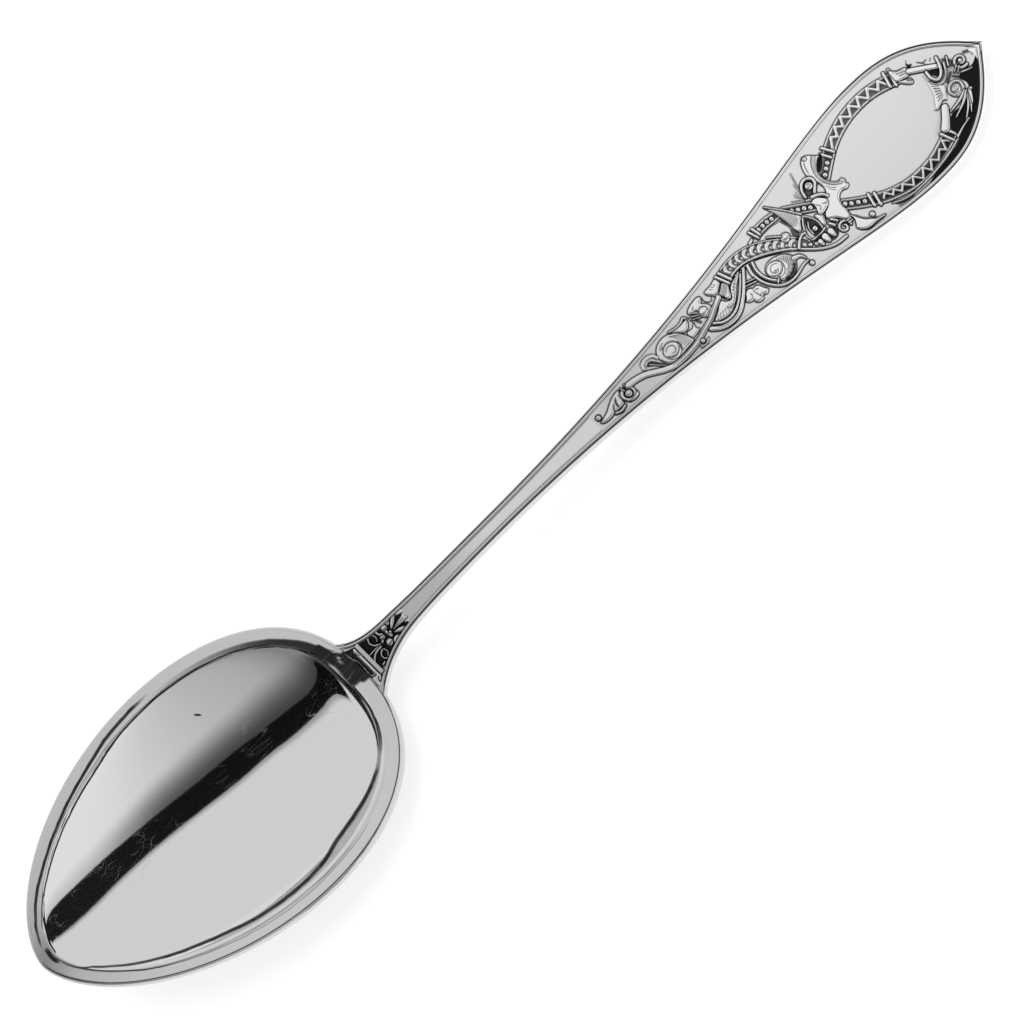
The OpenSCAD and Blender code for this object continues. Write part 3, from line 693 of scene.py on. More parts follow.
    def hatch(self, first, second, count, dark=0.5, half=0.07):
        """Fine engraved strokes from places along one path to places along another."""
        ends = []
        for path in (smooth_path(self.carry(first)), smooth_path(self.carry(second))):
            run = np.r_[0, np.cumsum(np.hypot(*np.diff(path, axis=0).T))]
            at = np.linspace(0, run[-1], count)
            ends.append(np.c_[np.interp(at, run, path[:, 0]), np.interp(at, run, path[:, 1]) / self.stretch])
        for a, b in zip(*ends):
            self.cut([a, b], half, 0.15, dark)

    def shade(self, points, half, dark, soft):
        """Darkened stretch along a path, with a soft edge."""
        part, d, _ = self.near(smooth_path(self.carry(points)), half + soft)
        self.dark[part] = np.maximum(self.dark[part], dark * smooth((half + soft - d) / (2 * soft)))

    def wash(self, points, half, amount):
        """Band along a path made darker by an amount, or paler if it is negative."""
        part, d, _ = self.near(smooth_path(self.carry(points)), half + 0.1)
        cover = smooth((half - d) / 0.1)
        if amount > 0:
            self.dark[part] = np.maximum(self.dark[part], amount * cover)
        else:
            self.dark[part] = np.clip(self.dark[part] + amount * cover, 0, 1)

    def settle(self):
        """Rounds the heights a little, and adds to the darkness a painted shade where the height lies under its
        surroundings, over the patina there, and a faint painted shade over the low ground, so that the raised tops
        come out lighter.

        The darkness d then becomes 1 - (1 - d)^1.5.
        """
        self.h = blur(self.h, 0.04 / self.cell)
        around = blur(self.h, 0.4 / self.cell)
        # Painted shade in the hollows, over their patina
        shade = np.clip((around - self.h) * 0.7 - 0.06, 0, 0.45)
        # Painted shade over the low ground, so that the raised tops read as lit
        flat = 0.07 * (1 - smooth(self.h / 0.4))
        dark = np.clip(np.maximum(blur(self.dark, 0.03 / self.cell) + shade, flat), 0, 1)
        self.dark = 1 - (1 - dark) ** 1.5

    def sample(self, grid, x, y):
        """Value of a lattice at places, by straight blending between its four neighbours."""
        u = np.clip((x - self.x[0]) / self.cell, 0, len(self.x) - 1.001)
        v = np.clip((y - self.y[0]) / self.cell, 0, len(self.y) - 1.001)
        i, j = u.astype(int), v.astype(int)
        a, b = u - i, v - j
        return ((grid[i, j] * (1 - a) + grid[i + 1, j] * a) * (1 - b)
                + (grid[i, j + 1] * (1 - a) + grid[i + 1, j + 1] * a) * b)


def blur(grid, width):
    """Bell-shaped running mean of a lattice, along and then across."""
    reach = max(1, int(3 * width))
    weight = np.exp(-(np.arange(-reach, reach + 1) / max(width, 1e-6)) ** 2 / 2)
    weight = weight / weight.sum()
    padded = np.pad(grid, reach, mode="edge")
    along = sum(w * padded[k:k + grid.shape[0]] for k, w in enumerate(weight))
    return sum(w * along[:, k:k + grid.shape[1]] for k, w in enumerate(weight))


UPPER_BAND = [(71.8, 2.9), (73.9, 4.4), (76, 5.75), (78, 6.7), (80, 7.35), (82, 7.75), (84, 7.9), (86, 7.85),
    (88, 7.5), (90, 6.85), (91.3, 6.35)]
LOWER_BAND = [(70.5, -2.5), (72.6, -4.2), (74.6, -5.6), (76.5, -6.7), (78.5, -7.5), (80.5, -8.05), (83, -8.3),
    (85, -8.25), (87, -7.95), (89, -7.35), (91.2, -6.6)]


def carve_frame(c):
    """Plain oval field in its band of zigzags, with clasps, beads and the light line below."""
    # Painted shade: the oval field darker along its lower edge
    c.shade([(74.5, -4.9), (78.5, -6.5), (83, -7.2), (87, -6.8), (90.5, -5.3)], 0.3, 0.12, 1)
    c.strip(UPPER_BAND, 1, 1.18, 0.85, "rail")
    c.strip(LOWER_BAND, 0.9, 1.18, 0.85, "rail")
    peaks = [(77.25, 6.9), (78.9, 7.7), (80.7, 8.3), (82.9, 8.65), (84.9, 8.75), (87, 8.55), (89.05, 8.1)]
    feet = [(76.1, 5.3), (78.1, 6.2), (79.95, 6.75), (81.9, 6.95), (84, 7.1), (86, 7.1), (88.1, 6.95),
        (89.8, 6.3)]
    c.strip(np.vstack(list(zip(feet, peaks + [feet[-1]]))), 0.27, 0.27, 0.8, "flat", rounded=False, outline=0.5)
    # Painted lightening: the upper band made a little paler than the lower
    c.wash(UPPER_BAND, 0.95, -0.1)
    # Painted shade: the field darker towards its lower right, as in a shallow dish
    c.shade([(92.6, -2.6), (91.4, -4), (89.4, -5.2)], 0.2, 0.3, 1.5)
    tops = [(76.6, -6.1), (78, -6.7), (79.6, -7.15), (81.6, -7.4), (83.75, -7.55), (85.6, -7.5), (87.75, -7.3),
        (89.1, -6.6)]
    ends = [(75.9, -6.6), (77.35, -7.3), (78.75, -7.9), (80.75, -8.6), (82.6, -8.9), (84.5, -8.9), (86.4, -8.5),
        (88.5, -8.2), (89.9, -7.5)]
    # Painted shade over patina: the lower band's triangles are black, the upper band's are not
    for k, top in enumerate(tops):
        c.fill([ends[k], top, ends[k + 1]], 0.3, 0.1, 0.95)
    c.strip(np.vstack(list(zip(ends, tops + [ends[-1]]))), 0.2, 0.2, 0.8, "flat", rounded=False, outline=0.5)
    for a, b in (((74.1, 6.05), (74.9, 4.45)), ((74.95, 6.65), (75.85, 4.85)), ((90.6, 8.35), (89.85, 5.9)),
            ((91.55, 8.15), (90.65, 5.4)), ((74.65, -4.4), (74.1, -6.4)), ((75.45, -4.95), (74.9, -7)),
            ((89.7, -5.8), (90.45, -8)), ((90.7, -5.5), (91.5, -7.8))):
        c.strip([a, b], 0.27, 0.27, 1, "flat")
    for p in ((72.2, 3.05), (73.05, 3.7), (73.85, 4.25), (71, -2.75), (71.75, -3.45), (72.65, -4.1),
            (73.5, -4.75)):
        c.bead(p, 0.43, 1)
    c.strip([(76.4, -8.2), (78.2, -9.1), (80.5, -9.45), (84, -9.45), (88, -8.95), (91.2, -8.2)], 0.14, 0.14,
        0.5)
    c.cut([(76.6, -8.7), (78, -9.4), (79.8, -9.8)], 0.12, 0.3, 1)


def carve_beast(c):
    """Head of the beast that bites the frame: crest, neck, eye, snout, mouth, cheek, curl and paw."""
    for p, w in (((68.45, 7.3), 0.2), ((67.6, 5.6), 0.2), ((66.5, 4.2), 0.25), ((65.3, 3.7), 0.25), ((66, 3.2),
            0.3)):
        c.shade([(67.3, 2.3), (0.5 * (67.3 + p[0]) - 0.1, 0.5 * (2.3 + p[1])), p], w, 0.4, 0.3)
    for p in ((68.6, 7.3), (68.2, 6.6), (67.5, 5.4), (66.9, 4.6), (66.1, 4), (65.3, 3.6)):
        c.cut([(67.4, 2.4), (0.5 * (67.4 + p[0]) - 0.12, 0.5 * (2.4 + p[1])), p], 0.07, 0.15, 0.6)
    c.fill([(72, 4.3), (72.5, 5.2), (73.4, 6.1), (74.2, 6.2), (73.9, 5.4), (72.9, 4.5), (71.9, 3.9)], -0.1, 0.1,
        0.95)
    c.fill([(71, 7.4), (71.7, 7.85), (72.5, 7.5), (73.3, 6.6), (74, 5.9), (73.5, 6), (72.5, 5.3), (71.8, 4.2),
        (71.5, 2.7), (72, 1.4), (72.9, 0.75), (73.6, 0.75), (73.85, 0.1), (73.55, -0.25), (73.75, -0.8),
        (73.1, -1.1), (72.3, -0.8), (71.5, -1), (70.9, -1.7), (70.6, -2.8), (70.5, -4), (70.2, -5),
        (69.6, -5.2), (69, -4.4), (68.4, -3.4), (67.7, -3), (67.3, -2.3), (67.8, -1.5), (68.6, -1.2),
        (69.1, -0.6), (69.6, 0.2), (70.2, 0.8), (70.6, 1.6), (70.5, 2.8), (70.2, 3.6), (70.05, 5), (70.4, 6.4)],
        0.8, 0.4)
    c.strip([(73, 6.6), (72, 5.5), (71.4, 4), (71.4, 2.4), (72.1, 1.1), (73, 0.35)], 0.24, 0.24, 1.05, "double",
        outline=0.7)
    c.cut([(70.9, 1.6), (71.4, 0.7), (72, 0.1)], 0.07, 0.12, 0.35)
    c.cut([(70.9, 1.1), (71.2, 0.4), (71.7, -0.2)], 0.07, 0.12, 0.3)
    c.cut([(72.9, 0.15), (73.4, 0), (73.7, 0.15)], 0.07, 0.2, 0.5)
    c.bead((71.75, 7.4), 0.34, 1.1)
    c.cut([(70.5, 4.9), (70.9, 6.2), (71.3, 7)], 0.075, 0.2, 0.6)
    c.fill([(68.4, 2.3), (69.4, 2.6), (70.1, 3.4), (69.9, 4.5), (69.1, 4.7), (68.2, 4.2), (67.7, 3.2),
        (67.7, 2.4)], 0, 0.1, 0.72)
    c.strip([(68.8, 2), (69.5, 2.7), (70.2, 3.4), (70.15, 4.3), (69.4, 4.9), (68.5, 4.7), (67.8, 3.9),
        (67.4, 2.6)], 0.26, 0.24, 1)
    c.bead((69.1, 3.65), 0.7, 0.95)
    c.cut(spiral((69.15, 3.75), 0.24, 0.2, 200, -100, 14), 0.07, 0.25, 0.95, rounded=False)
    c.strip([(67.1, 2.1), (67.9, 1.7), (68.5, 2.1)], 0.22, 0.16, 0.8)
    c.fill([(67.4, 1.3), (68.3, 1.5), (69.1, 0.8), (69.6, 0), (69.3, -0.7), (68.6, -1.1), (67.8, -1.3),
        (67.1, -1.3), (66.9, -0.8), (67.2, -0.2), (67.4, 0.5)], 0.85, 0.4)
    c.strip([(68.1, 1.9), (69, 1.5), (69.7, 0.9), (70, 0.2)], 0.3, 0.24, 1.05)
    c.cut([(67.6, 0.4), (68, -0.3), (67.5, -0.8)], 0.075, 0.15, 0.5)
    c.cut([(68.5, -0.2), (69, -0.5), (69.3, -0.4)], 0.075, 0.15, 0.45)
    c.shade([(67.2, -1.8), (67, -2.6)], 0.25, 0.5, 0.3)
    c.strip([(66.95, -3.3), (67.35, -4.1)], 0.26, 0.26, 0.95, "flat")
    c.strip([(67.6, -3), (68.2, -3.9)], 0.22, 0.22, 0.95, "flat")
    c.fill([(70.3, -4.6), (70.25, -5.6), (69.9, -6.4), (69.5, -7.1), (70.1, -8), (71.2, -8.45), (72.6, -8.5),
        (74.2, -8.8), (73.9, -8.5), (72.9, -8.2), (72.2, -7.6), (71.4, -6.9), (70.8, -5.8)], 0.7, 0.35)
    c.cut([(70.8, -5.2), (71.3, -6.4), (72.1, -7.3)], 0.075, 0.2, 0.5)
    c.cut([(69.6, -7.5), (70.6, -8.45), (72.2, -8.7), (74.1, -8.9)], 0.1, 0.3, 1)
    c.bead((72.8, -7.15), 0.44, 1, 1.2)
    c.cut([(72.5, -7.8), (73.1, -8)], 0.1, 0.25, 0.9)
    c.strip(spiral((68.25, -5.45), 1.15, 0.3, -20, 400), 0.22, 0.2, 0.95, rounded=False)
    c.strip([(69.2, -5), (70, -5.1)], 0.13, 0.13, 0.9)
    c.strip([(69.2, -5.45), (70, -5.5)], 0.13, 0.13, 0.9)


def carve_wing(c):
    """Wing, strap, shield and the folds of the body that cross between the scrolls."""
    c.strip([(58, 4.25), (60, 4.25), (62, 4)], 0.85, 0.8, 0.8, "rail")
    for p in ((58.4, 4.25), (59.3, 4.25), (60.2, 4.2), (61.1, 4.05)):
        c.bead(p, 0.42, 0.95)
    c.strip([(56.95, 5), (57.4, 3.3)], 0.25, 0.25, 1.05, "flat")
    c.strip([(57.7, 5.1), (57.95, 3.5)], 0.25, 0.25, 1.05, "flat")
    c.strip([(55.8, 3.6), (56.5, 3.85)], 0.26, 0.2, 0.6)
    c.cut([(58, 3.1), (59.8, 3.2), (61.8, 2.8)], 0.07, 0.2, 0.7)
    c.fill([(61.6, 2.7), (62.2, 2.6), (62.2, 0.6), (62.5, -0.9), (61.7, -1.3), (61.5, -0.2), (61.95, 0.9)],
        -0.1, 0.1, 0.7)
    c.strip([(63.2, 3.45), (65.1, 2.15), (67.5, 0.4)], 0.88, 0.85, 0.85, "rail", rounded=False)
    for p in ((64.3, 2.65), (65.1, 2.05), (65.95, 1.5), (66.75, 0.85)):
        c.bead(p, 0.43, 0.95)
    c.fill([(61.6, 6.4), (62.6, 4.9), (63.7, 3.2), (64.8, 1.1), (64, 0.3), (63.1, -0.8), (62.5, -0.6),
        (62.35, 1.4), (62.1, 3.5)], 0.7, 0.4)
    c.hatch([(62, 4.9), (62.9, 3.7), (64.1, 1.9)], [(62.5, 0.4), (63.1, 0), (63.9, 0.7)], 8, 0.55)
    c.strip([(61.6, 6.3), (63.3, 3.8), (64.9, 1.1)], 0.13, 0.2, 1.05)
    c.fill([(63.9, -1.2), (64.7, 0.1), (65.3, -0.6), (65.6, -2), (65.4, -3.1), (64, -3.2), (63.8, -2.2)], -0.05,
        0.1, 0.8)
    c.strip([(64.8, 0.7), (63.7, -0.7), (63.05, -2.1), (63.1, -3.3)], 0.16, 0.16, 0.95, outline=0.7)
    c.strip([(64.85, 0.7), (65.6, -0.6), (65.9, -2), (65.7, -3.2)], 0.17, 0.17, 0.95, outline=0.7)
    c.strip([(64.75, -0.6), (64.15, -1.5), (64, -2.7)], 0.14, 0.14, 0.85, outline=0.5)
    c.bead((64.8, -2.2), 0.48, 0.95)
    c.strip([(63.2, -3.35), (64.6, -3.5), (66, -3.3)], 0.16, 0.16, 0.9)
    c.fill([(66.2, -0.6), (66.8, -0.8), (67.3, -1.6), (67, -2.4), (66.5, -2.9), (66.1, -2.7), (66.2, -1.6)],
        0.5, 0.3)
    c.strip([(60.7, -2.7), (61.6, -1.9), (62.6, -1.45), (63.1, -1.6)], 0.24, 0.2, 0.9)
    c.fill([(62.9, -4.4), (64.4, -5.2), (65.8, -5.9), (67, -5.5), (67.2, -4.4), (65, -3.6), (63.3, -3.6)],
        -0.05, 0.1, 0.72)
    for p in ((61.7, -2.9), (62.4, -3.6), (63.2, -4.2)):
        c.bead(p, 0.36, 0.8)
    for dx, size in ((-0.75, 0.75), (0.35, 1), (1.6, 0.95)):
        c.fill([(64.6 + dx + size * a, -4.5 + size * b) for a, b in ((-0.45, 0.55), (0, 0.75), (0.45, 0.6),
            (0.6, -0.1), (0.4, -0.85), (0, -1.1), (-0.4, -0.7), (-0.55, 0))], 0.85, 0.35)


def carve_body(c):
    """Scaled body that runs from its cuff under the wing to the jaw, with its ball."""
    middle = [(49.6, 2.75), (51.3, 3), (53, 2.95), (54.7, 2.45), (56.3, 1.65), (57.8, 0.7), (59.2, -0.4),
        (60.5, -1.7), (61.6, -2.9)]
    c.strip(middle, 1.1, 0.85, 0.5, "flat")
    path = smooth_path(middle)
    c.wash(middle, 0.95, 0.62)
    step = np.diff(path, axis=0)
    run = np.r_[0, np.cumsum(np.hypot(step[:, 0], step[:, 1]))]
    for s in np.arange(0.5, run[-1] - 1, 1.27):
        at = np.array([[np.interp(s + d, run, path[:, k]) for k in (0, 1)] for d in (-0.1, 0, 0.1, 0.55)])
        ahead = (at[2] - at[0]) / np.hypot(*at[2] - at[0])
        side = np.array([-ahead[1], ahead[0]])
        arc = [at[1] + side * a + ahead * b for a, b in ((0.92, 0.42), (0.5, -0.02), (0, -0.14), (-0.45, -0.05),
            (-0.8, 0.2))]
        c.strip(arc, 0.33, 0.3, 0.95, outline=0.25)
        c.bead(at[3] - 0.12 * side, 0.26, 0.8, 0.7)
    c.strip([(49.3, 1.6), (50.8, 1.95), (52.5, 1.95), (54.3, 1.45), (56.3, 0.5), (58.3, -0.8), (60, -2.2),
        (61.6, -3.9), (63.2, -5.4), (65.2, -6.5), (67.4, -6.8)], 0.2, 0.22, 1.05)
    # Painted shadow: a black groove under the body's lower edge
    c.cut([(49.2, 1.05), (50.8, 1.55), (52.5, 1.6), (54.3, 1.1), (56.3, 0.1), (58.2, -1.15)], 0.13, 0.3, 1)
    c.strip([(49.4, 3.85), (51.4, 4.1), (53.5, 3.95), (55.5, 3.35), (57.4, 2.3), (59.2, 0.95), (60.2, 0)], 0.14,
        0.14, 1, outline=0.8)
    for a, b in (((48.05, 3.5), (48.85, 1.25)), ((48.8, 3.6), (49.5, 1.5))):
        c.strip([a, b], 0.28, 0.28, 1.05, "flat")
    c.bead((60.45, 0.15), 0.82, 0.95)
    c.cut(spiral((60.4, 0.15), 0.55, 0.35, 30, 250, 16), 0.075, 0.2, 0.5, rounded=False)
    c.strip([(58.4, 2.3), (59.4, 1.4), (60, 0.8)], 0.16, 0.16, 0.9)
    c.strip([(61, -0.5), (61.8, -1.2)], 0.2, 0.15, 0.8)


def carve_scrolls(c):
    """Two scrolls with their stems, the tendril, the leaf of three lobes, the calyx and the rosette."""
    # Painted shade: grey ground along the handle's lower border, in this line and the next
    c.shade([(36, -3.6), (46, -5.2), (54, -6.6), (62, -8), (70, -9.3), (77, -10.2)], 0.7, 0.3, 1.7)
    c.shade([(43, -4.4), (50, -5.3), (56, -6.6)], 0.2, 0.4, 0.7)
    c.fill([(54.1, -2.6), (54.3, -1.6), (55, -0.95), (56, -0.75), (57.2, -1), (58.2, -1.5), (58.9, -2.4),
        (59, -3.4), (58.6, -4.3), (57.8, -5), (56.8, -5.3), (55.8, -5.1), (54.9, -4.4), (54.3, -3.6)], 0.7, 0.5)
    c.disc((55.6, -2.6), 1.45, 0.95)
    c.cut(spiral((55.6, -2.6), 1.05, 0.45, 20, 330, 30), 0.07, 0.25, 0.6, rounded=False)
    c.shade([(55.35, -2.7), (55.6, -2.75)], 0.1, 0.8, 0.12)
    for k in range(4):
        c.cut(spiral((56, -2.9), 1.75 + 0.33 * k, 1.75 + 0.33 * k, 35 - 4 * k, -75, 16), 0.07, 0.12, 0.45,
            rounded=False)
    # Painted shade under the scroll's lower edge
    c.shade([(55.9, -5), (57.3, -4.85), (58.3, -4.1)], 0.35, 0.92, 0.3)
    for k in range(3):
        c.strip([(56.3 + 0.6 * k, -4.2 + 0.15 * k), (56.6 + 0.7 * k, -5 + 0.35 * k)], 0.1, 0.06, 0.8,
            outline=0.3)
    # Painted shade under the scroll's lower left
    c.shade([(54.3, -4.9), (55.4, -5.4)], 0.25, 0.8, 0.25)
    c.hatch([(57.2, -1.1), (58.2, -1.7), (58.7, -2.6), (58.7, -3.6)], [(56.8, -1.9), (57.4, -2.5), (57.6, -3.2),
        (57.3, -3.9)], 9)
    c.strip([(53.9, 1.2), (53.4, -0.4), (53.4, -1.9), (53.9, -3.2), (54.7, -4.3)], 0.26, 0.24, 0.95)
    c.strip([(53, 1.3), (52.5, -0.4), (52.6, -2), (53.2, -3.6), (54.2, -4.9), (55.3, -5.55), (56.6, -5.75),
        (57.9, -5.55), (59.2, -5.2), (60.3, -5.2)], 0.3, 0.16, 0.95)
    c.strip([(59, -3.3), (59.9, -3.7), (60.35, -4.6)], 0.4, 0.14, 0.7)
    c.bead((60.45, -5.95), 0.42, 1)
    c.strip([(54.3, -4.5), (55.05, -3.85)], 0.14, 0.12, 0.95)
    for a, b in (((50.7, -0.6), (52.1, -1.15)), ((50.2, -1.05), (52.1, -1.7))):
        c.strip([a, b], 0.14, 0.14, 0.9)
    c.fill([(48.6, -3), (49.1, -2.5), (49.5, -1.9), (50.3, -1.7), (51, -2.2), (51.4, -2.1), (52, -2.6),
        (52.3, -3.4), (52.6, -4), (51.9, -4.4), (51.3, -4.1), (51, -4.6), (50.2, -4.6), (49.7, -4.2),
        (49.6, -3.7), (49, -3.5)], 0.75, 0.55)
    c.cut([(50.75, -2.3), (50.75, -3.3), (51, -4.4)], 0.07, 0.25, 0.65)
    c.cut([(51, -2.6), (51.5, -2.9)], 0.07, 0.2, 0.7)
    c.cut([(49.6, -3.6), (50, -3.1), (50, -2.6)], 0.075, 0.2, 0.45)
    c.fill([(42.9, -1.7), (44, -2.3), (45.4, -2.5), (46.8, -2.1), (48.1, -1.2), (49.6, 0.2), (51.3, 1.4),
        (50.2, 1.4), (48.9, 0.9), (48, 0), (47.3, -0.9), (46.4, -0.6), (45.8, 0.1), (44.3, -0.9)], 0.55, 0.45)
    c.cut([(45.7, -1.6), (46.5, -1.85), (47.4, -1.8)], 0.08, 0.2, 0.8)
    c.cut([(46, -2.05), (46.9, -2.2)], 0.075, 0.2, 0.6)
    c.cut([(48.4, -0.3), (49.8, 0.8), (50.8, 1.3)], 0.075, 0.15, 0.4)
    c.strip([(42.5, -1.8), (43.6, -2.7), (45, -3.05), (46.6, -2.75), (48.2, -1.8), (49.8, -0.4), (51.2, 1)],
        0.26, 0.2, 0.9)
    c.strip([(41.6, -2.2), (43, -3.3), (44.8, -3.75), (46.6, -3.5), (48.4, -2.4), (50.2, -0.8), (51.6, 0.7),
        (52.2, 1.4)], 0.4, 0.26, 0.95)
    c.cut([(42.4, -2.9), (43.8, -3.6), (45.6, -3.75), (47.2, -3.2)], 0.07, 0.15, 0.4)
    c.fill([(45.1, 3.05), (46.5, 3.15), (47.7, 3.45), (48, 2.6), (47.4, 1.9), (46.6, 1.3), (45.9, 0.8),
        (45.6, 1.6), (45, 2.4)], 0.8, 0.4)
    c.fill([(46.3, 0.9), (47.2, 1.6), (48.1, 2.1), (48.6, 1.3), (48.1, 0.4), (47.7, -0.4), (47.2, -0.75),
        (46.8, -0.3), (46.7, 0.3)], 0.9, 0.35)
    c.cut([(45.7, 1.5), (46.6, 1.5), (47.6, 2.2)], 0.08, 0.25, 0.8)
    c.hatch([(43.3, -2), (46, -2.3), (48, -1.2), (49.6, 0.2)], [(44.1, -1.4), (46.2, -1.3), (47.8, -0.4),
        (49.1, 0.7)], 13, 0.3)
    c.hatch([(46.8, 1.3), (47.5, 1.8), (48.2, 1.8)], [(46.9, 0), (47.5, 0.2), (48.1, 0.9)], 7, 0.6)
    c.hatch([(41.2, 2.7), (42.6, 3.1), (43.7, 3.1)], [(41.7, 2.3), (42.6, 2.4), (43.3, 2.4)], 6, 0.4)
    for k in range(3):
        c.cut([(45.9 + 0.45 * k, 2.7 + 0.1 * k), (46.2 + 0.45 * k, 2.3 + 0.1 * k)], 0.07, 0.12, 0.45)
    c.shade([(46.4, 0.5), (46.6, -0.2)], 0.12, 0.9, 0.15)
    c.fill([(40.7, 2.3), (41.4, 2.95), (42.6, 3.25), (43.6, 3.3), (44.05, 2.9), (43.7, 2.4), (43.4, 2.1),
        (44, 1.3), (44.2, 0.6), (43.9, 0), (43, -0.35), (42.2, 0), (41.8, 0.6), (41.9, 1.1), (41.3, 1.7)], 0.8,
        0.5)
    c.disc((42.8, 0.85), 0.72, 0.95)
    c.cut([(41.6, 1.9), (42, 1.6), (42.1, 1.2)], 0.14, 0.35, 0.95)
    c.cut([(41.6, 2.2), (42.1, 2.5)], 0.07, 0.2, 0.6)
    for a, b in (((40.7, 1.6), (41.8, 0.95)), ((40.6, 1.1), (41.7, 0.55))):
        c.strip([a, b], 0.13, 0.13, 0.85)
    c.shade([(40.9, 0.6), (41.2, -0.1)], 0.25, 0.85, 0.25)
    c.cut([(44.1, 2.8), (44, 1.9), (44.4, 1.3), (45, 1.3), (45.3, 1.7)], 0.1, 0.3, 0.95)
    c.fill([(36.6, 2.15), (38, 1.95), (39.3, 1.95), (39.95, 1.9), (39.5, 1), (38.8, 0.55), (38.1, 0.6),
        (37.4, 1.2)], 0.65, 0.4)
    c.strip([(36.4, 2.35), (37.8, 2.1), (38.9, 2.15), (39.6, 2.45), (39.9, 2.1)], 0.14, 0.2, 0.85)
    c.fill([(38.5, 0.2), (39.5, 0.1), (40.2, 0.5), (40.1, -0.4), (40.3, -0.8), (38.6, -1.1), (38.3, -0.5)], 0.5,
        0.35)
    c.cut([(40.35, 2), (40.2, 1.2), (40.4, 0.4)], 0.1, 0.3, 0.8)
    c.fill([(32.3, 0.1), (32.6, 1.2), (33.4, 2), (34.6, 2.4), (35.8, 2.3), (37, 1.6), (37.9, 0.4), (38.3, -0.8),
        (38.3, -1.5), (36.5, -1.7), (35, -1.85), (33.6, -1.8), (32.7, -1.2)], 0.7, 0.5)
    c.disc((34.75, -0.25), 1.45, 0.95)
    c.cut(spiral((34.75, -0.25), 1, 0.5, 160, -120, 28), 0.08, 0.25, 0.7, rounded=False)
    c.shade([(33.75, 1.1), (33.95, 1.2)], 0.12, 0.9, 0.15)
    c.cut([(33.3, 1), (33.8, 1.5), (34.5, 1.7)], 0.075, 0.2, 0.5)
    c.shade([(36, -1.3), (36.35, -0.5), (36.3, 0.2)], 0.14, 0.85, 0.15)
    for k in range(5):
        c.cut([(35.7 + 0.35 * k, 2 - 0.22 * k), (36.6 + 0.3 * k, 0.6 - 0.1 * k), (36.8 + 0.28 * k, -1.5)], 0.07,
            0.13, 0.5)
    c.strip([(25.9, 0.75), (27.3, 0.55), (29, 0), (30.4, -0.85), (31.8, -1.7), (33.5, -2.35), (36, -2.45),
        (38.4, -2.2), (40.5, -1.55), (42.5, -0.95), (44.4, 0), (46, 0.75)], 0.52, 0.44, 0.6, "flat")
    c.cut([(33.2, -2.15), (36, -2.2), (38.6, -1.9), (40.6, -1.3), (42.6, -0.65), (44.5, 0.3), (45.8, 1)], 0.075,
        0.2, 0.75)
    c.cut([(33.6, -2.6), (36, -2.7), (38.6, -2.45), (40.6, -1.8), (42.6, -1.2), (44.5, -0.25), (46, 0.45)],
        0.075, 0.2, 0.75)
    c.bead((39.3, -2.6), 0.4, 0.95, 1.2)
    c.strip([(38.4, -3.15), (39.3, -3.4), (40.2, -3)], 0.14, 0.14, 0.6, outline=0.7)
    c.strip([(29.5, 0.9), (29.8, 1.6), (30.8, 1.85), (31.8, 1.5), (32.2, 0.7)], 0.35, 0.3, 0.45, outline=0.5)
    c.fill([(30, 0.8), (31.1, 1.1), (32.4, -1), (32, -1.3), (30.9, 0)], -0.1, 0.1, 0.8)
    c.strip([(30.6, 0.7), (31.4, -0.2), (32.3, -1.25)], 0.13, 0.1, 0.6, outline=0.3)


def carve_sprig(c):
    """Sprig at the thin end: a small spiral with two bars, a leaf with its lobes, and a bead."""
    c.fill([(18.5, -0.5), (19.3, -0.3), (20.4, 0.05), (21.4, 0.6), (22.4, 1.1), (23.4, 1.35), (24.1, 1.3),
        (23.9, 0.4), (23.5, -0.6), (23.1, -1), (21.4, -1), (20.2, -1.15), (19.2, -1.1), (18.6, -0.8)], 0.75,
        0.45)
    c.cut([(22.85, 0.65), (22.45, 0), (22.3, -0.8)], 0.15, 0.4, 0.95)
    c.cut([(21.95, 0.1), (21.6, -0.4), (21.2, -0.95)], 0.12, 0.35, 0.9)
    c.cut([(23.6, 0.7), (23.5, -0.2)], 0.07, 0.25, 0.6)
    c.strip([(21.3, -1.2), (22.2, -1.5), (23.2, -1.3)], 0.22, 0.2, 0.85)
    c.strip(spiral((25, -0.3), 1.15, 0.95, 110, 420), 0.28, 0.22, 0.95, rounded=False)
    c.disc((25, -0.25), 0.62, 0.9)
    c.cut(spiral((25, -0.25), 0.4, 0.3, 0, 250, 16), 0.075, 0.2, 0.6, rounded=False)
    c.fill([(24.3, -1.5), (25.2, -1.7), (26.1, -1.5), (26.2, -0.9), (25.9, -1.1), (25, -1.4)], 0.6, 0.2)
    for a, b in (((24.5, 1.25), (24.8, 0.5)), ((25.4, 1.3), (25.3, 0.5))):
        c.strip([a, b], 0.14, 0.14, 0.9)
    c.shade([(24.95, 1.2), (25, 0.7)], 0.1, 0.9, 0.12)
    c.bead((18.75, 0.33), 0.46, 1, 1.3)


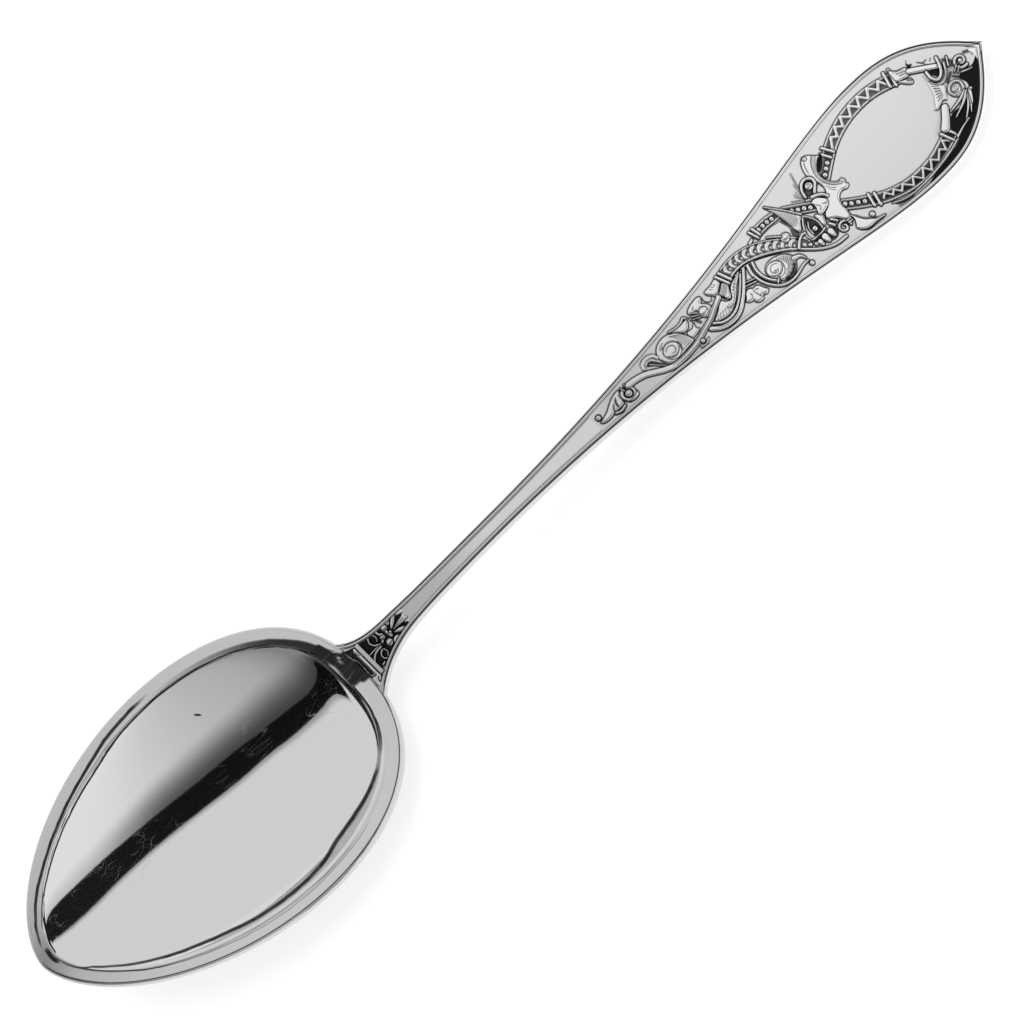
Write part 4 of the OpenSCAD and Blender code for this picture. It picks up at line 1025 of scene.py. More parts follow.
def carve_end(c):
    """Small beast, loop, spiral and mane at the pointed end, on ground painted black, which is patina and a painted
    reflection of the dark slot.
    """
    # Painted reflection: a dark sheen along the lower border before the tip
    c.shade([(77, -9.3), (80, -10.1), (84, -10.25), (88.5, -9.8)], 0.3, 0.75, 0.45)
    # Painted reflection of the dark slot, over the patina of the ground: the black ground on the lower side and the
    # tip
    c.fill([(84, -9.75), (88, -9.2), (91.2, -8.3), (91.6, -6), (93.5, -4.6), (96, -5), (98, -4), (98.6, -2.8),
        (98.3, -1.4), (99.6, -0.9), (101.4, -1.4), (103.6, -0.3), (103.9, -0.8), (101, -3.9), (98.4, -6.2),
        (95, -8.2), (91, -9.9), (87, -10.7), (83, -10.4)], -0.12, 0.35, 1)
    for path, half in (([(98.7, 2.7), (99.4, 1.6), (98.9, 0.9)], 0.25), ([(101.8, 1), (103, 0.2)], 0.25),
            ([(97.9, -0.5), (98.6, -1.5)], 0.3), ([(96.6, -0.5), (98, 0.2)], 0.3)):
        c.shade(path, half, 0.85, 0.3)
    c.strip([(93.3, -3.1), (92.2, -4.4), (90.9, -5.6)], 0.6, 0.7, 0.75, "flat")
    c.fill([(91.4, 7.9), (92.3, 7), (93.6, 6.4), (93.8, 5.5), (92.9, 5), (92, 5.3), (91.1, 5.7)], 0.75, 0.4)
    for k in range(3):
        c.cut([(91.6 + 0.2 * k, 7.2 - 0.6 * k), (92.5 + 0.15 * k, 6.7 - 0.5 * k), (93.3, 6.2 - 0.35 * k)],
            0.075, 0.15, 0.6)
    c.fill([(91.2, 5.4), (92, 5.1), (92.9, 4.6), (93.1, 4.1), (92.8, 3.6), (92.1, 4)], 0.7, 0.3)
    c.shade([(92.4, 4.6), (92.9, 4.1)], 0.12, 0.95, 0.15)
    c.fill([(94.2, 6.9), (94.45, 6.35), (94.9, 6), (94.4, 5.8), (93.9, 5.9)], -0.1, 0.1, 0.95)
    c.cut([(94.3, 6.6), (94.6, 7.1)], 0.075, 0.15, 0.6)
    c.strip([(93.7, 5.4), (95.4, 4.1), (97.3, 2.6)], 0.5, 0.45, 0.95, "flat")
    c.cut([(95.5, 5.6), (96.1, 4.8), (96.9, 4.7)], 0.09, 0.25, 0.95)
    c.cut([(96.1, 4.8), (96.3, 4.1)], 0.08, 0.25, 0.9)
    c.cut([(97.1, 4), (97.6, 4.4)], 0.075, 0.2, 0.7)
    c.fill([(95.8, 2.9), (97, 2.3), (96.8, 1.6), (96.2, 1.4), (95.8, 2)], -0.05, 0.1, 0.9)
    c.strip([(95.4, 3.2), (95.3, 1.7), (95.9, 0.95), (96.9, 1.3), (97.7, 2.4), (98.2, 3.7)], 0.28, 0.26, 1)
    c.strip([(94.7, 1.5), (95.2, 0.4), (96.4, 0.1), (97.6, 0.9), (98.4, 2.2)], 0.2, 0.2, 0.7, outline=0.7)
    c.strip([(98.6, 1.3), (99.1, 2.1), (99.4, 2.6)], 0.18, 0.14, 0.8)
    c.fill([(94.6, 3.1), (94.2, 1.6), (93.5, -0.4), (92.2, -2.2), (92.9, -2.4), (93.8, -2), (94.5, -2.4),
        (95.2, -1.6), (95.9, -0.5), (95.1, 0.3), (94.6, 1.4)], 0.35, 0.25, outline=0.35)
    for k in range(3):
        c.cut([(94.4 + 0.2 * k, 0.6 - 0.3 * k), (94.1 + 0.25 * k, -0.9 - 0.3 * k), (93.7 + 0.4 * k, -1.8)],
            0.07, 0.1, 0.35)
    c.hatch([(94.5, 2), (94.1, 0.2), (93.3, -1.6)], [(95.2, 0.6), (95, -0.6), (94.4, -1.6)], 8, 0.4)
    c.hatch([(96.5, 0.1), (98.2, 1.5)], [(96.5, -0.7), (98.6, 0.3)], 8, 0.7)
    c.cut([(91.8, -2.2), (92.3, -2.6), (93, -2.4), (93.9, -2.1), (94.5, -2.6)], 0.09, 0.25, 0.95)
    c.disc((96.75, -2.3), 1.35, 0.85)
    c.strip(spiral((96.75, -2.25), 1.2, 1.15, -60, 215), 0.24, 0.2, 1, rounded=False, outline=0.6)
    c.disc((96.75, -2.3), 0.72, 1.05)
    c.shade(spiral((96.75, -2.25), 0.9, 0.88, -60, 200), 0.1, 0.85, 0.14)
    c.cut(spiral((96.75, -2.1), 0.26, 0.22, -60, 240, 14), 0.07, 0.25, 0.95, rounded=False)
    for p, q in (((97.4, -3.6), (93.4, -4.3)), ((97.6, -3.9), (93.4, -5.6)), ((97.6, -4.3), (94.2, -7.1)),
            ((97.9, -4.2), (95.7, -6.8)), ((98.1, -4), (96.9, -5.9))):
        c.strip([p, (0.5 * (p[0] + q[0]), 0.5 * (p[1] + q[1]) - 0.15), q], 0.3, 0.12, 0.8)
    c.strip([(91.3, -8), (93, -7.5), (94.8, -7.2)], 0.2, 0.12, 0.7)
    c.bead((98.4, -4), 0.3, 0.9)
    c.strip(spiral((100.45, 0.4), 1.25, 0.45, 285, -130), 0.26, 0.22, 1, rounded=False)
    c.disc((100.45, 0.45), 0.4, 0.85)
    for a, b in (((98.5, -0.2), (99.5, 0.35)), ((98.8, -0.65), (99.8, -0.05))):
        c.strip([a, b], 0.12, 0.12, 0.85)
    c.strip([(99.4, -1.1), (100.4, -1.6), (101, -1.8)], 0.2, 0.12, 0.7)
    c.cut([(102.2, 0.9), (102.9, 0.3), (103.4, 0.1)], 0.08, 0.2, 0.6)
    c.shade([(102.6, -0.2), (103.6, 0)], 0.2, 0.6, 0.3)


def carve_palmette(c):
    """Palmette on the neck: three petals, side curls, leaves and the stem between them, on black ground."""
    # Black ground: patina of the palmette's ground, and where it runs over the lip before the neck a painted
    # reflection
    c.fill([(-40.6, 8), (-38.6, 8), (-37.6, 4.9), (-36.6, 4.1), (-34, 3), (-32, 2.5), (-30.5, 2.2), (-28, 1.5),
        (-26, 1), (-25, 0.5), (-24.8, -0.4), (-25.1, -1.2), (-26, -1.9), (-28, -2.2), (-30.5, -2.2),
        (-33, -2.6), (-35, -2.6), (-36.4, -2.4), (-37.6, -1.9), (-39.2, -1.1), (-39.15, 2), (-39.3, 4),
        (-39.9, 6.3)], -0.1, 0.3, 1)
    c.strip([(-37.75, 4), (-37.9, 3.4), (-37.8, 2.2)], 0.22, 0.12, 0.7)
    c.strip([(-37.8, 2.2), (-37.8, 0.6), (-37.75, -0.7)], 0.07, 0.07, 0.6)
    c.bead((-37.7, -1.05), 0.24, 0.7)
    c.strip([(-36.4, 3.2), (-36.35, 2.2), (-36, 1), (-36, -0.6), (-36.05, -2), (-35.6, -2.35), (-35, -2.1),
        (-34.6, -1.4), (-34.2, -0.8)], 0.1, 0.12, 0.7)
    c.strip([(-35.4, 2.6), (-35, 1.6), (-34.5, 0.8), (-33.9, 0.35), (-32.8, 0.2), (-31.4, 0.1)], 0.12, 0.18,
        0.9)
    c.strip([(-34.6, -2.4), (-34.2, -1.3), (-33.6, -0.6), (-32.8, -0.25), (-31.6, -0.3)], 0.2, 0.2, 0.95)
    c.strip([(-35.4, -3.7), (-34.8, -2.9), (-34, -2.6)], 0.24, 0.14, 0.8)
    c.strip([(-33.4, -2.4), (-32.9, -2.3)], 0.2, 0.15, 0.7)
    c.strip([(-32.3, 2.2), (-32.6, 1.5), (-32.3, 0.7), (-31.7, 0.3)], 0.2, 0.16, 0.95)
    c.strip([(-31.3, 1.9), (-31.15, 1.3), (-31.5, 0.8)], 0.15, 0.12, 0.9)
    c.strip(spiral((-31.85, -1.6), 0.8, 0.7, 60, 300, 24), 0.17, 0.15, 0.95, rounded=False)
    c.strip([(-31.5, -1), (-31.35, -1.7), (-31.8, -2.1)], 0.13, 0.12, 0.9)
    c.disc((-30.35, 0.55), 0.5, 0.8)
    c.strip([(-30.6, 1.9), (-30.5, 1.2), (-30.1, 0.9)], 0.25, 0.2, 0.9)
    c.strip([(-30.9, 0), (-30.7, 0.1)], 0.25, 0.2, 0.9)
    c.disc((-30.1, -0.95), 0.62, 0.9)
    c.cut([(-30.5, -0.7), (-30, -0.55), (-29.7, -0.8)], 0.075, 0.2, 0.6)
    c.fill([(-29.6, -1.5), (-28.8, -1), (-28.1, -1.5), (-28.3, -2.1), (-29.2, -2.15)], 0.9, 0.3)
    c.disc((-29.15, 1.25), 0.55, 0.75)
    c.disc((-28.2, 1.35), 0.4, 0.6)
    c.strip([(-29.3, 0.45), (-29.1, -0.5)], 0.3, 0.3, 1.05, "flat")
    c.fill([(-28.5, 0.1), (-27.6, 0.35), (-26.8, 0.9), (-26.1, 1.6), (-26.9, 1.5), (-27.9, 0.95)], 0.95, 0.25)
    c.fill([(-28.4, -0.15), (-27.2, 0.15), (-26.2, 0.3), (-25.4, 0), (-25.1, -0.45), (-25.8, -0.65),
        (-27, -0.45)], 1, 0.35)
    c.cut([(-28, -0.15), (-26.4, -0.15), (-25.7, -0.25)], 0.075, 0.2, 0.7)
    c.fill([(-28.5, -0.5), (-27.4, -0.65), (-26.5, -1.2), (-25.9, -2), (-26.8, -1.7), (-27.8, -1.2)], 0.95,
        0.25)
    c.bead((-28.85, 0), 0.3, 1.05)


def plate(form, carving, x_low, x_high, rows, lines, high, sunk):
    """Thin closed plate with the carving's heights on top, from one place along the handle to another.

    The top is a lattice that narrows with the ground between the threads. At each end it dips by a depth over
    a length, and a deep dip also flattens the ornament. The underside is a ladder of quads below the ground,
    with a fan at each end. Walls join both.
    """
    x = np.linspace(x_low, x_high, rows)
    border = form.border * form.lean(x)
    inner = form.half(x) - border * np.minimum(1, form.half(x) / (1.25 * border))
    inner = np.maximum(inner + 0.05, 0.06)
    y = inner[:, None] * np.linspace(-1, 1, lines)[None, :]
    xx = np.broadcast_to(x[:, None], y.shape)
    h = carving.sample(carving.h, xx, y)
    dark = carving.sample(carving.dark, xx, y)
    edge = smooth((inner[:, None] - np.abs(y)) / 0.15)
    base = (form.face(x) - form.neck_step(x))[:, None] - form.ground_depth + form.crown(xx, y)
    (first, first_length), (last, last_length) = sunk
    dip = first * (1 - smooth((x - x_low) / first_length)) + last * (1 - smooth((x_high - x) / last_length))
    kept = 1 - np.clip(dip / 0.015 - 1, 0, 1)
    z = base + mix(np.minimum(h, 0), h, edge) * high * kept[:, None] - dip[:, None]
    top = np.stack([xx, y, z], axis=-1).reshape(-1, 3)
    sides = [0, -1]
    under = np.stack([np.c_[x, x], y[:, sides], base[:, sides] - PLATE_DEPTH], axis=-1).reshape(-1, 3)
    quads = [grid_faces(rows, lines, False)]
    n = rows * lines
    i = np.arange(rows - 1)
    left, right = i * lines, i * lines + lines - 1
    low_left, low_right = n + 2 * i, n + 2 * i + 1
    quads.append(np.c_[low_left, low_left + 2, low_right + 2, low_right][1:-1])
    quads.append(np.c_[left, left + lines, low_left + 2, low_left])
    quads.append(np.c_[right, low_right, low_right + 2, right + lines])
    points, ends = [top, under], []
    for k, (row, near) in enumerate(((0, 1), (rows - 1, rows - 2))):
        line = row * lines + np.arange(lines)
        start, low, pivot = n + 2 * rows + k * (lines - 2), n + 2 * row, n + 2 * near
        bottom = np.r_[low, start + np.arange(lines - 2), low + 1]
        points.append(mix(under[2 * row], under[2 * row + 1], np.linspace(0, 1, lines)[1:-1, None]))
        cap = np.c_[bottom[:-1], line[:-1], line[1:], bottom[1:]]
        fan = np.c_[np.full(lines - 1, pivot), bottom[1:], bottom[:-1]]
        fan = np.vstack([fan, [[pivot, pivot + 1, bottom[-1]]]])
        quads.append(cap[:, ::-1] if k else cap)
        ends.append(fan[:, ::-1] if k else fan)
    points = np.vstack(points)
    return points, np.vstack(quads), np.vstack(ends), np.r_[dark.ravel(), np.zeros(len(points) - n)]


def neck_carving():
    """Height field of the palmette, which also paints the lip in front of it black, a painted reflection on the steep
    wall at the heel.
    """
    c = Carving(-41, NECK_END + 0.8, 8.2, 0.05, 1)
    carve_palmette(c)
    c.settle()
    return c


def body_darkness(form, points):
    """Darkness of the body's points, 0 clean to 1 black, from their place.

    It follows the dark lines in the grooves beside the threads, patina there, with a painted shade that widens the
    line beside the +Y edge towards the end. It adds a grey over the stem's ground that fades along it, and takes the
    lip before the neck from the palmette's carving, a painted reflection there.
    """
    x, y, z = points.T
    half = form.half(x)
    lean = form.lean(x)
    away = (half - np.abs(y)) / lean
    on_handle = (x > form.heel_x + 0.4) & (z > form.face(x) - 0.75)
    # Painted shade: the line beside the +Y edge widens towards the end
    heavy = 0.1 + 0.06 * smooth((x - 78) / 8) * (y > 0)
    first = np.exp(-((away - form.roll_width - 0.5 * form.groove_width) / heavy) ** 2)
    second = np.exp(-((away - form.border + 0.3 * form.groove_width) / 0.11) ** 2)
    grey = 0.3 * smooth((away - form.border) / 0.2) * (1 - smooth((x + 20) / 16)) * (x > -25.5)
    lines = np.where(on_handle, np.maximum(np.maximum(first, 0.75 * second), grey), 0)
    neck = neck_carving()
    # Painted reflection: the lip before the neck takes the palmette's black
    on_lip = (x > -40.9) & (x < form.heel_x) & (np.abs(y) < 8) & (z > form.face(x) - 1.0)
    return np.maximum(lines, np.where(on_lip, neck.sample(neck.dark, x, y), 0))


def rim_values(form, points):
    """Cosine and sine of the angle round the bowl, and the margin from its outline, for points on its top.

    The margin is found by halving: the outline drawn in by it has to pass through the point. All three
    are 0 on the back and on the handle.
    """
    x, y, z = points.T
    low, high = np.full(len(x), -0.3), np.full(len(x), 0.45 * form.bowl_width)
    for _ in range(24):
        margin = 0.5 * (low + high)
        t = (x - form.tip_x - margin) / (form.bowl_len - 2 * margin)
        beyond = (form.bowl_half - margin) * form.egg(t) > np.abs(y)
        low, high = np.where(beyond, margin, low), np.where(beyond, high, margin)
    t = np.clip((x - form.tip_x - margin) / (form.bowl_len - 2 * margin), 0, 1)
    cosine = 2 * t - 1
    sine = np.sqrt(np.clip(1 - cosine ** 2, 0, 1)) * np.where(y < 0, -1, 1)
    edge_margin, edge_depth = lip_profile(form)[0]
    hollow = edge_depth + (form.bowl_depth - edge_depth) * form.hollow(x, y, edge_margin)
    top = np.where(margin > edge_margin, z > form.face(x) - hollow - 0.5, z > form.face(x) - 1.5)
    top &= x < form.heel_x + 0.6
    return np.c_[cosine, sine, margin] * top[:, None]


class Graph:
    """Short way to add nodes to the tree of a material or world and link them."""

    def __init__(self, owner):
        """Empties the owner's tree and keeps it."""
        owner.use_nodes = True
        self.nodes, self.links = owner.node_tree.nodes, owner.node_tree.links
        self.nodes.clear()

    def add(self, kind, inputs=None, **settings):
        """Node of a kind, with its settings, and each input linked to a socket or set to a value."""
        node = self.nodes.new(kind)
        for key, value in settings.items():
            setattr(node, key, value)
        for key, value in (inputs or {}).items():
            if isinstance(value, bpy.types.NodeSocket):
                self.links.new(value, node.inputs[key])
            else:
                node.inputs[key].default_value = value
        return node

    def math(self, operation, *values):
        """Result of a Math node."""
        return self.add("ShaderNodeMath", dict(enumerate(values)), operation=operation).outputs["Value"]

    def ramp(self, value, low, high, first=0.0, last=1.0, steps="SMOOTHSTEP"):
        """Value carried from one range to another and held inside it."""
        inputs = {"Value": value, "From Min": low, "From Max": high, "To Min": first, "To Max": last}
        return self.add("ShaderNodeMapRange", inputs, interpolation_type=steps).outputs["Result"]

    def curve(self, value, points):
        """Value looked up on a smooth curve through points."""
        xs, ys = zip(*points)
        low, high = min(ys), max(max(ys), min(ys) + 1e-6)
        node = self.add("ShaderNodeFloatCurve", {"Value": self.ramp(value, xs[0], xs[-1], steps="LINEAR")})
        knots = node.mapping.curves[0].points
        placed = [((x - xs[0]) / (xs[-1] - xs[0]), (y - low) / (high - low)) for x, y in points]
        knots[0].location, knots[-1].location = placed[0], placed[-1]
        for place in placed[1:-1]:
            knots.new(*place)
        node.mapping.update()
        return self.ramp(node.outputs["Value"], 0.0, 1.0, low, high, "LINEAR")

    def most(self, values):
        """Largest of several values."""
        best = values[0]
        for value in values[1:]:
            best = self.math("MAXIMUM", best, value)
        return best


# Painted reflections, in part tarnish, as dark lines round the lip: angle in degrees from the heel, plus on the +Y
# side, with margins in millimetres
INNER_LINE = [(-180, 2.6), (-167, 2.55), (-157, 3.3), (-142, 3.9), (-125, 4.4), (-113, 4.6), (-98, 4.28),
    (-85, 4.3), (-77, 4.5), (-70, 4.95), (-62, 5.4), (-57, 5.3), (-50, 4.9), (-40, 4.27), (-30, 3.67),
    (-20, 3.3), (0, 3.25), (30, 3.03), (60, 3.2), (90, 3.33), (107, 3.72), (120, 3.67), (138, 3.53),
    (150, 3.13), (166, 2.7), (180, 2.6)]
INNER_SHARE = [(-180, 0), (-170, 0.6), (-155, 0.72), (-110, 0.85), (-85, 0.9), (-62, 0.95), (-45, 0.9),
    (-37, 0.7), (-33, 0.2), (-28, 0.45), (-20, 0.8), (-3, 0.95), (3, 0.3), (7, 0), (26, 0), (33, 0.7),
    (45, 0.95), (60, 0.97), (105, 0.95), (140, 0.85), (160, 0.7), (170, 0), (180, 0)]
INNER_HALF = [(-180, 0.12), (-150, 0.24), (-110, 0.36), (-60, 0.42), (-30, 0.38), (-5, 0.16), (40, 0.12),
    (75, 0.15), (110, 0.13), (180, 0.1)]
OUTER_LINE = [(-180, 2.1), (-165, 2.5), (-150, 2.72), (-135, 2.52), (-115, 2.4), (-95, 2.2), (-70, 2.27),
    (-50, 2.2), (0, 1.6), (20, 2.2), (60, 1.9), (88, 1.9), (100, 2.25), (120, 2.55), (135, 2.45), (145, 2.1),
    (155, 1.85), (170, 1.7), (180, 1.9)]
OUTER_SHARE = [(-180, 0), (-167, 0.45), (-150, 0.75), (-132, 0.75), (-125, 0.35), (-100, 0.32), (-60, 0.3),
    (-52, 0), (0, 0), (70, 0), (80, 0.35), (88, 0.9), (130, 0.95), (150, 0.85), (168, 0.7), (174, 0.3),
    (180, 0.4)]
OUTER_HALF = [(-180, 0.1), (-145, 0.15), (-120, 0.1), (-55, 0.08), (70, 0.2), (92, 0.32), (110, 0.3),
    (140, 0.3), (165, 0.25), (180, 0.1)]
SIDE_LINE = [(-180, 0.75), (-150, 0.75), (-88, 0.35), (-70, 0.42), (-45, 0.58), (-10, 0.5), (30, 0.7),
    (150, 0.9), (180, 0.8)]
SIDE_SHARE = [(-180, 0.35), (-155, 0.3), (-140, 0.05), (-92, 0.05), (-84, 0.4), (-60, 0.4), (-40, 0.25),
    (-12, 0.2), (0, 0.3), (20, 0.15), (60, 0.1), (140, 0.12), (150, 0.2), (180, 0.35)]
SIDE_HALF = [(-180, 0.12), (0, 0.12), (180, 0.08)]
# Painted reflection as a dark stretch beside the neck: margin where it starts, and how dark it is
STRETCH_START = [(-180, 0.2), (5, 0.2), (9, 0.9), (18, 1.5), (34, 1.85), (60, 2), (180, 2)]
STRETCH_SHARE = [
    (-180, 0), (6, 0), (12, 0.85), (26, 0.85), (36, 0.75), (48, 0.5), (62, 0.3), (78, 0.12), (92, 0), (180, 0),
]
# Grey over the lip's top, strongest at the tip
LIP_GREY_SHARE = [
    (-180, 0.34), (-168, 0.24), (-155, 0.14), (-90, 0.05), (0, 0.08), (60, 0.09), (120, 0.11), (155, 0.17),
    (172, 0.3), (180, 0.34),
]
# Place of the nick in the hollow, in metres, turned round so that it comes out as 0
NICK_PLACE = (0.0603, -0.0144, 0.0)


def rim_darkness(g):
    """Darkness of the lip, from the angle round the bowl and the margin from its outline.

    It is the most of three wavering lines and a dark stretch beside the neck, which are painted reflections of dark
    surroundings on the lip's slopes and in part tarnish at the foot of its inner edge, a grey over the top and a mark
    at the tip. Then 1 - (1 - most)^2 is taken.
    """
    rim = g.add("ShaderNodeAttribute", attribute_name="rim").outputs["Vector"]
    parts = g.add("ShaderNodeSeparateXYZ", {"Vector": rim}).outputs
    angle = g.math("MULTIPLY", g.math("ARCTAN2", parts["Y"], parts["X"]), 180 / math.pi)
    place = g.add("ShaderNodeTexCoord").outputs["Object"]
    wander = g.add("ShaderNodeTexNoise", {"Vector": place, "Scale": 420.0, "Detail": 2.0}).outputs["Fac"]
    margin = g.math("ADD", parts["Z"], g.ramp(wander, 0.3, 0.7, -0.05, 0.05, "LINEAR"))
    uneven = g.ramp(wander, 0.25, 0.75, 0.8, 1.1, "LINEAR")
    values = []
    for line, share, half, edge in ((INNER_LINE, INNER_SHARE, INNER_HALF, 0.5),
                                    (OUTER_LINE, OUTER_SHARE, OUTER_HALF, 0.4),
                                    (SIDE_LINE, SIDE_SHARE, SIDE_HALF, 0.3)):
        away = g.math("ABSOLUTE", g.math("SUBTRACT", margin, g.curve(angle, line)))
        width = g.curve(angle, half)
        cover = g.ramp(g.math("DIVIDE", away, width), edge, 1.4, 1.0, 0.0)
        values.append(g.math("MULTIPLY", g.math("MULTIPLY", cover, g.curve(angle, share)), uneven))
    beyond = g.math("SUBTRACT", margin, g.curve(angle, STRETCH_START))
    across = g.math("MULTIPLY", g.ramp(beyond, 0.0, 0.5), g.ramp(margin, 2.9, 3.15, 1.0, 0.0))
    values.append(g.math("MULTIPLY", across, g.curve(angle, STRETCH_SHARE)))
    values.append(g.math("MULTIPLY", g.curve(angle, LIP_GREY_SHARE), g.ramp(margin, 2.7, 3.1, 1.0, 0.0)))
    tip = g.math("ABSOLUTE", g.math("SUBTRACT", g.math("ABSOLUTE", angle), 178))
    inward = g.math("ABSOLUTE", g.math("SUBTRACT", margin, 2.2))
    values.append(g.math("MULTIPLY", g.ramp(tip, 2, 8, 1.0, 0.0), g.ramp(inward, 0.25, 0.45, 0.92, 0.0)))
    on_bowl = g.math("ADD", g.math("MULTIPLY", parts["X"], parts["X"]), g.math("MULTIPLY", parts["Y"], parts["Y"]))
    clean = g.math("SUBTRACT", 1.0, g.most(values))
    return g.math("MULTIPLY", g.math("SUBTRACT", 1.0, g.math("MULTIPLY", clean, clean)), g.ramp(on_bowl, 0.5, 0.9))


def nick(g):
    """Darkness of the small nick in the hollow: an oval spot about a place, in metres."""
    place = g.add("ShaderNodeTexCoord").outputs["Object"]
    spot = g.add("ShaderNodeMapping", {"Vector": place, "Location": NICK_PLACE}, vector_type="POINT")
    parts = g.add("ShaderNodeSeparateXYZ", {"Vector": spot.outputs["Vector"]}).outputs
    u = g.math("DIVIDE", g.math("ADD", parts["X"], parts["Y"]), 0.0003)
    v = g.math("DIVIDE", g.math("SUBTRACT", parts["X"], parts["Y"]), 0.0009)
    away = g.math("ADD", g.math("MULTIPLY", u, u), g.math("MULTIPLY", v, v))
    return g.ramp(away, 0.4, 1.2, 0.95, 0.0)


def scratches(g):
    """Roughness of fine scratches in the hollow: thin level lines of four stretched noises, broken up by a fifth."""
    place = g.add("ShaderNodeTexCoord").outputs["Object"]
    lines = []
    for angle, scale in ((12, 520.0), (40, 380.0), (85, 430.0), (140, 360.0)):
        rotation = (0.0, 0.0, math.radians(angle))
        turned = g.add("ShaderNodeMapping", {"Vector": place, "Rotation": rotation, "Scale": (0.06, 1.0, 1.0)})
        inputs = {"Vector": turned.outputs["Vector"], "Scale": scale, "Detail": 1.0}
        noise = g.add("ShaderNodeTexNoise", inputs).outputs["Fac"]
        lines.append(g.ramp(g.math("ABSOLUTE", g.math("SUBTRACT", noise, 0.5)), 0.001, 0.005, 1.0, 0.0))
    broken = g.add("ShaderNodeTexNoise", {"Vector": place, "Scale": 190.0, "Detail": 2.0}).outputs["Fac"]
    return g.math("MULTIPLY", g.math("MULTIPLY", g.most(lines), g.ramp(broken, 0.48, 0.6)), 0.17)


def silver():
    """Material of worn silver, made once: clean metal mixed towards black by the darkness, which is patina and also
    painted shade and painted reflections.

    A rough thin coat over the bowl gives the haze and the pale scratches. It is taken away past the heel.
    """
    name = "silver_worn_and_painted_shade"
    if name in bpy.data.materials:
        return bpy.data.materials[name]
    finish = bpy.context.scene.spoon_finish
    material = bpy.data.materials.new(name)
    g = Graph(material)
    dark = g.add("ShaderNodeAttribute", attribute_name="darkness").outputs["Fac"]
    # Darkness: patina and painted shade from the attribute, painted reflections round the lip, and the nick
    dark = g.most([dark, rim_darkness(g), nick(g)])
    place = g.add("ShaderNodeTexCoord").outputs["Object"]
    along = g.add("ShaderNodeSeparateXYZ", {"Vector": place}).outputs["X"]
    # Base tone, painted lighter along the handle from 20 to 60 mm on: a painted lightening in place of the brighter
    # light the handle reflects
    clean = g.ramp(along, 0.02, 0.06, finish.tone, finish.handle_lit_tone)
    colour = g.add("ShaderNodeMix", {"Factor": dark, "A": clean}, data_type="RGBA")
    colour.inputs["B"].default_value = (finish.dark, finish.dark, finish.dark, 1)
    grain = g.add("ShaderNodeTexNoise", {"Vector": place, "Scale": 900.0, "Detail": 3.0}).outputs["Fac"]
    satin = g.add("ShaderNodeAttribute", attribute_name="satin").outputs["Fac"]
    bump = g.add("ShaderNodeBump", {"Strength": 0.01, "Distance": 0.0002, "Height": grain}).outputs["Normal"]
    fine = scratches(g)
    haze = g.math("ADD", 0.13, g.math("MULTIPLY", fine, 5.5))
    haze = g.math("MULTIPLY", g.ramp(along, -0.036, -0.034, 1.0, 0.0), haze)
    worn = g.math("MAXIMUM", fine, g.ramp(satin, 0.0, 1.0, finish.roughness, finish.satin, "LINEAR"))
    shader = g.add("ShaderNodeBsdfPrincipled", {
        "Coat Weight": haze, "Coat Roughness": 0.6, "Coat IOR": 1.9, "Metallic": 1.0, "Normal": bump,
        "Base Color": colour.outputs["Result"], "Roughness": g.ramp(dark, 0.0, 1.0, worn, 0.5, "LINEAR"),
    })
    g.add("ShaderNodeOutputMaterial", {"Surface": shader.outputs["BSDF"]})
    return material


def floor_material():
    """Dull pale material with some light of its own, so that the floor is white and keeps a faint shadow."""
    material = bpy.data.materials.new("floor_white")
    g = Graph(material)
    shader = g.add("ShaderNodeBsdfPrincipled", {
        "Base Color": (0.45, 0.45, 0.45, 1), "Roughness": 1.0, "Specular IOR Level": 0.0,
        "Emission Color": (1, 1, 1, 1), "Emission Strength": 0.6,
    })
    g.add("ShaderNodeOutputMaterial", {"Surface": shader.outputs["BSDF"]})
    return material


# Black slot of the ceiling, as steps along and across: its two sides
SLOT_UPPER = [
    (-2.6, 1.1), (-2.1, 0.75), (-1.6, 0.48), (-1.1, 0.33), (-0.9, 0.3), (-0.7, 0.26), (-0.5, 0.22), (-0.3, 0.18),
    (-0.1, 0.13), (0.1, 0.11), (0.3, 0.085), (0.5, 0.08), (0.7, 0.12), (0.9, 0.23), (1.1, 0.38), (1.6, 0.6),
]
SLOT_LOWER = [
    (-2.6, -0.15), (-1.6, 0.02), (-1.1, 0.04), (-0.7, 0), (-0.5, -0.04), (-0.3, -0.08), (-0.1, -0.12),
    (0.1, -0.16), (0.3, -0.18), (0.5, -0.2), (0.7, -0.2), (0.9, -0.17), (1.6, -0.1),
]
# Step over which the slot's sides are soft
SLOT_SOFT = 0.012


